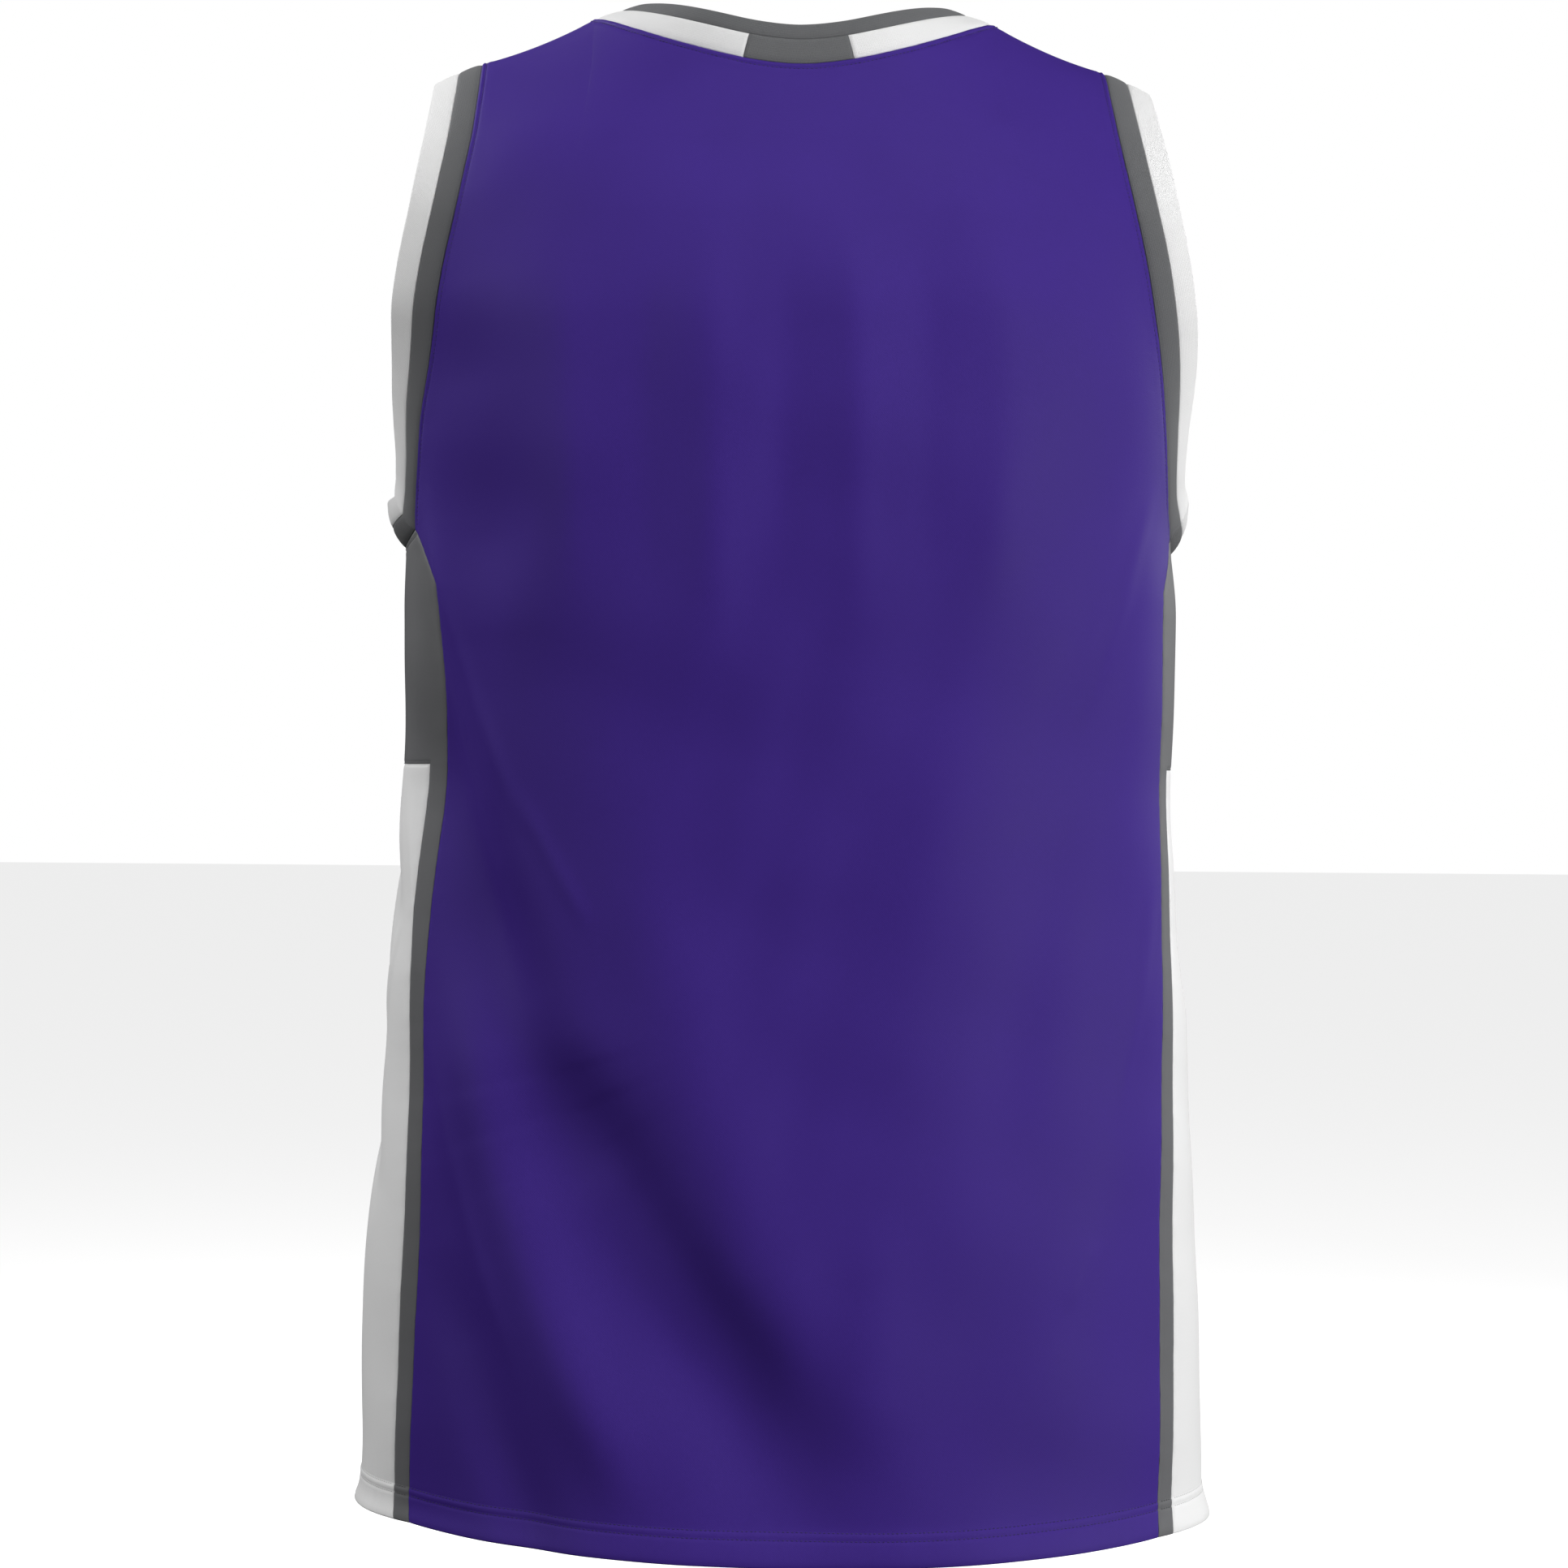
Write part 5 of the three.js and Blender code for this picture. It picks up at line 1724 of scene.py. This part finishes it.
@dataclass(frozen=True)
class Lamp:
    """A large soft light. Turn 0 is on the camera's side and 90 on the right; rise is above level."""

    name: str
    turn: float
    rise: float
    power: float
    size: float = 1.3
    distance: float = 2.8

    def hang(self, middle: Vector, collection: bpy.types.Collection) -> None:
        """Makes the light.

        Args:
            middle: What it shines at.
            collection: Where it goes.
        """
        data = bpy.data.lights.new(self.name, "AREA")
        data.shape = "DISK"
        data.size = self.size
        data.energy = self.power
        lamp = bpy.data.objects.new(self.name, data)
        collection.objects.link(lamp)
        turn, rise = math.radians(self.turn), math.radians(self.rise)
        away = Vector((math.sin(turn) * math.cos(rise), -math.cos(turn) * math.cos(rise), math.sin(rise)))
        lamp.location = middle + self.distance * away
        lamp.rotation_euler = (-away).to_track_quat("-Z", "Y").to_euler()


@dataclass
class Studio:
    """The camera, lights and floor."""

    distance: float = 2.0
    eye_z: float = -0.3706
    azimuth: float = -2.0
    roll: float = 0.5
    shift: float = 0.00163
    frame_width: float = 0.78857
    sensor: float = 36.0
    floor_z: float = -1.05
    middle: tuple[float, float, float] = (0.0, 0.0, -0.35)
    lamps: tuple[Lamp, ...] = (
        Lamp("right", 60, 0, 53),
        Lamp("right_front", 30, 35, 14),
        Lamp("right_top", 60, 65, 9),
        Lamp("right_behind", 125, 15, 23),
        Lamp("top", 0, 65, 15),
        Lamp("left_front", -56, 22, 29),
        Lamp("left_side", -90, 35, 9),
        Lamp("left_behind", -125, 35, 29),
    )

    def build(self, collection: bpy.types.Collection) -> None:
        """Makes the studio.

        Args:
            collection: Where its objects go.
        """
        scene = bpy.context.scene
        scene.view_settings.view_transform = "Standard"
        scene.view_settings.look = "None"
        self._camera(collection)
        self._world()
        for lamp in self.lamps:
            lamp.hang(Vector(self.middle), collection)
        self._floor(collection)

    def _camera(self, collection: bpy.types.Collection) -> None:
        """Sets the camera up at the photograph's viewing angle."""
        turn, roll = math.radians(self.azimuth), math.radians(self.roll)
        right = Vector((math.cos(turn), math.sin(turn), 0))
        ahead = Vector((-math.sin(turn), math.cos(turn), 0))
        up = Vector((0, 0, 1))
        data = bpy.data.cameras.new("camera")
        data.sensor_width = self.sensor
        data.lens = self.sensor * self.distance / self.frame_width
        camera = bpy.data.objects.new("camera", data)
        collection.objects.link(camera)
        across = right * math.cos(roll) + up * math.sin(roll)
        top = up * math.cos(roll) - right * math.sin(roll)
        axes = Matrix((across, top, -ahead)).transposed().to_4x4()
        place = -ahead * self.distance - right * self.shift + up * self.eye_z
        camera.matrix_world = Matrix.Translation(place) @ axes
        bpy.context.scene.camera = camera

    def _world(self) -> None:
        """Makes a surround that is white to the camera and gives no light of its own."""
        world = bpy.data.worlds.new("room")
        world.use_nodes = True
        tree = world.node_tree
        tree.nodes.clear()
        output = tree.nodes.new("ShaderNodeOutputWorld")
        seen = tree.nodes.new("ShaderNodeBackground")
        seen.inputs["Color"].default_value = (1, 1, 1, 1)
        dark = tree.nodes.new("ShaderNodeBackground")
        dark.inputs["Color"].default_value = (0, 0, 0, 1)
        path = tree.nodes.new("ShaderNodeLightPath")
        mix = tree.nodes.new("ShaderNodeMixShader")
        tree.links.new(path.outputs["Is Camera Ray"], mix.inputs["Fac"])
        tree.links.new(dark.outputs[0], mix.inputs[1])
        tree.links.new(seen.outputs[0], mix.inputs[2])
        tree.links.new(mix.outputs[0], output.inputs["Surface"])
        bpy.context.scene.world = world

    def _floor(self, collection: bpy.types.Collection) -> None:
        """Lays a plain pale floor."""
        half = 30.0
        mesh = bpy.data.meshes.new("floor")
        corners = [(-half, -half), (half, -half), (half, half), (-half, half)]
        mesh.from_pydata([(x, y, self.floor_z) for x, y in corners], [], [(0, 1, 2, 3)])
        floor = bpy.data.objects.new("floor", mesh)
        collection.objects.link(floor)
        material = bpy.data.materials.new("pale_floor")
        material.use_nodes = True
        shader = material.node_tree.nodes["Principled BSDF"]
        shader.inputs["Base Color"].default_value = (0.9, 0.9, 0.9, 1)
        shader.inputs["Roughness"].default_value = 0.9
        shader.inputs["Emission Color"].default_value = (1, 1, 1, 1)
        shader.inputs["Emission Strength"].default_value = 0.85
        mesh.materials.append(material)
        floor.visible_diffuse = False
        floor.visible_glossy = False


@dataclass
class Jersey:
    """The whole garment."""

    collection: bpy.types.Collection
    dyes: Dyes = field(default_factory=Dyes)
    form: BodyForm = field(default_factory=BodyForm)
    stitching: Stitching = field(default_factory=Stitching)
    block_half: float = 27.0

    def build(self) -> None:
        """Makes every piece in the order in which it is sewn."""
        dyes = {name: getattr(self.dyes, name).make() for name in self.dyes.__dataclass_fields__}
        back = BodyPanel(self.form, Face.BACK, Cut(0.50, 0.78, 0.33))
        front = BodyPanel(self.form, Face.FRONT, Cut(0.50, 0.78, 0.31))
        for panel in (back, front):
            part = panel.build(dyes["purple"], self.collection)
            name = f"{panel.face.value}_stitches"
            threads = self._sew(name, panel.stitch_lines(), dyes["purple_thread"], "purple_body")
            part.fasten([threads])
            report(part.made)
        self._make_neck(back, front, dyes)
        for side in Side:
            self._make_side(side, back, front, dyes)

    def _sew(self, name: str, lines: Sequence[tuple[np.ndarray, np.ndarray]], thread: bpy.types.Material,
             slot: str) -> bpy.types.Object:
        """Sews the rows of one piece and fastens them.

        Args:
            name: The stitches' name.
            lines: The rows.
            thread: The thread's finish.
            slot: The cloth's material slot.

        Returns:
            The stitches.
        """
        made = self.stitching.sew(name, lines, thread, self.collection)
        Part(made, slot).fasten()
        report(made)
        return made

    def _make_neck(self, back: BodyPanel, front: BodyPanel, dyes: dict[str, bpy.types.Material]) -> None:
        """Makes the neck's ribs on the seam that both panels share.

        Args:
            back: The back panel.
            front: The front panel.
            dyes: The finishes.
        """
        points, normals = [], []
        for panel, order in ((back, 1), (front, -1)):
            first, last = panel.neck_columns
            cells = slice(first, last + 1)
            points.append(panel.plain.points[-1, cells][::order])
            normals.append(panel.plain.normals[-1, cells][::order])
        line, facing = np.concatenate(points), np.concatenate(normals)
        seam = SeamLine.through(line, facing, closed=True)
        lengths = np.concatenate([[0], np.linalg.norm(np.diff(seam.points, axis=0), axis=1).cumsum()])
        behind = seam.points[:, 1] < 0
        behind[len(behind) // 2:] = False
        block = (-self.block_half, self.block_half)
        ends = [float(np.interp(x, seam.points[behind, 0], lengths[behind])) for x in block]
        cuts = {
            "neck_rib": Cut(0.62, 0.013, 0.0072),
            "neck_block": Cut(0.055, 0.013, 0.0007),
            "neck_edge": Cut(0.64, 0.01, 0.0051),
        }
        rib = NeckRib(seam, (ends[0], ends[1]), cuts)
        for part in rib.build(dyes["white_rib"], dyes["grey_rib"], self.collection):
            part.fasten()
            report(part.made)

    def _make_side(self, side: Side, back: BodyPanel, front: BodyPanel,
                   dyes: dict[str, bpy.types.Material]) -> None:
        """Makes one side: its panel, its inset and the ribs of its armhole.

        Args:
            side: Which side.
            back: The back panel.
            front: The front panel.
            dyes: The finishes.
        """
        word = side.word
        panel = SidePanel(self.form, side, Cut(0.19, 0.50, 0.0286), Cut(0.17, 0.38, 0.055))
        made = panel.build(dyes["grey"], dyes["white"], self.collection)
        lines = panel.stitch_lines()
        rows = {
            "panel": ("side_stitches", "grey_thread", "grey_side"),
            "inset": ("side_inset_stitches", "white_thread", "white_side"),
        }
        sewn = {
            name: self._sew(f"{stem}_{word}", lines[name], dyes[thread], slot)
            for name, (stem, thread, slot) in rows.items()
        }
        for name, part in made.items():
            part.fasten([sewn[name]])
            report(part.made)
        column = -1 if side is Side.RIGHT else 0
        rising = slice(back.underarm_row, None)
        falling = slice(None, front.underarm_row - 1, -1)
        line = np.concatenate([
            back.plain.points[rising, column], front.plain.points[falling, column], panel.plain_top[::-1],
        ])
        facing = np.concatenate([
            back.plain.normals[rising, column], front.plain.normals[falling, column], panel.top_facing[::-1],
        ])
        cuts = {
            f"armhole_rib_{word}": Cut(0.60, 0.0125, 0.0074),
            f"armhole_edge_{word}": Cut(0.60, 0.0135, 0.0078),
        }
        ribs = ArmholeRibs(SeamLine.through(line, facing, closed=True), side, cuts)
        for part in ribs.build(dyes["grey_rib"], dyes["white_rib"], self.collection):
            part.fasten()
            report(part.made)


def report(made: bpy.types.Object) -> None:
    """Logs a piece's name and size."""
    made.data.calc_loop_triangles()
    area = sum(face.area for face in made.data.polygons) / 2
    triangles = len(made.data.loop_triangles)
    LOG.info("%s: %d triangles, %.5f square metres of cloth", made.name, triangles, area)


def main() -> None:
    """Makes the studio and the jersey."""
    logging.basicConfig(level=logging.INFO, format="%(name)s: %(message)s")
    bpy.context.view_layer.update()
    collection = bpy.data.collections.new("jersey")
    bpy.context.scene.collection.children.link(collection)
    Studio().build(collection)
    Jersey(collection).build()


if __name__ == "__main__":
    main()
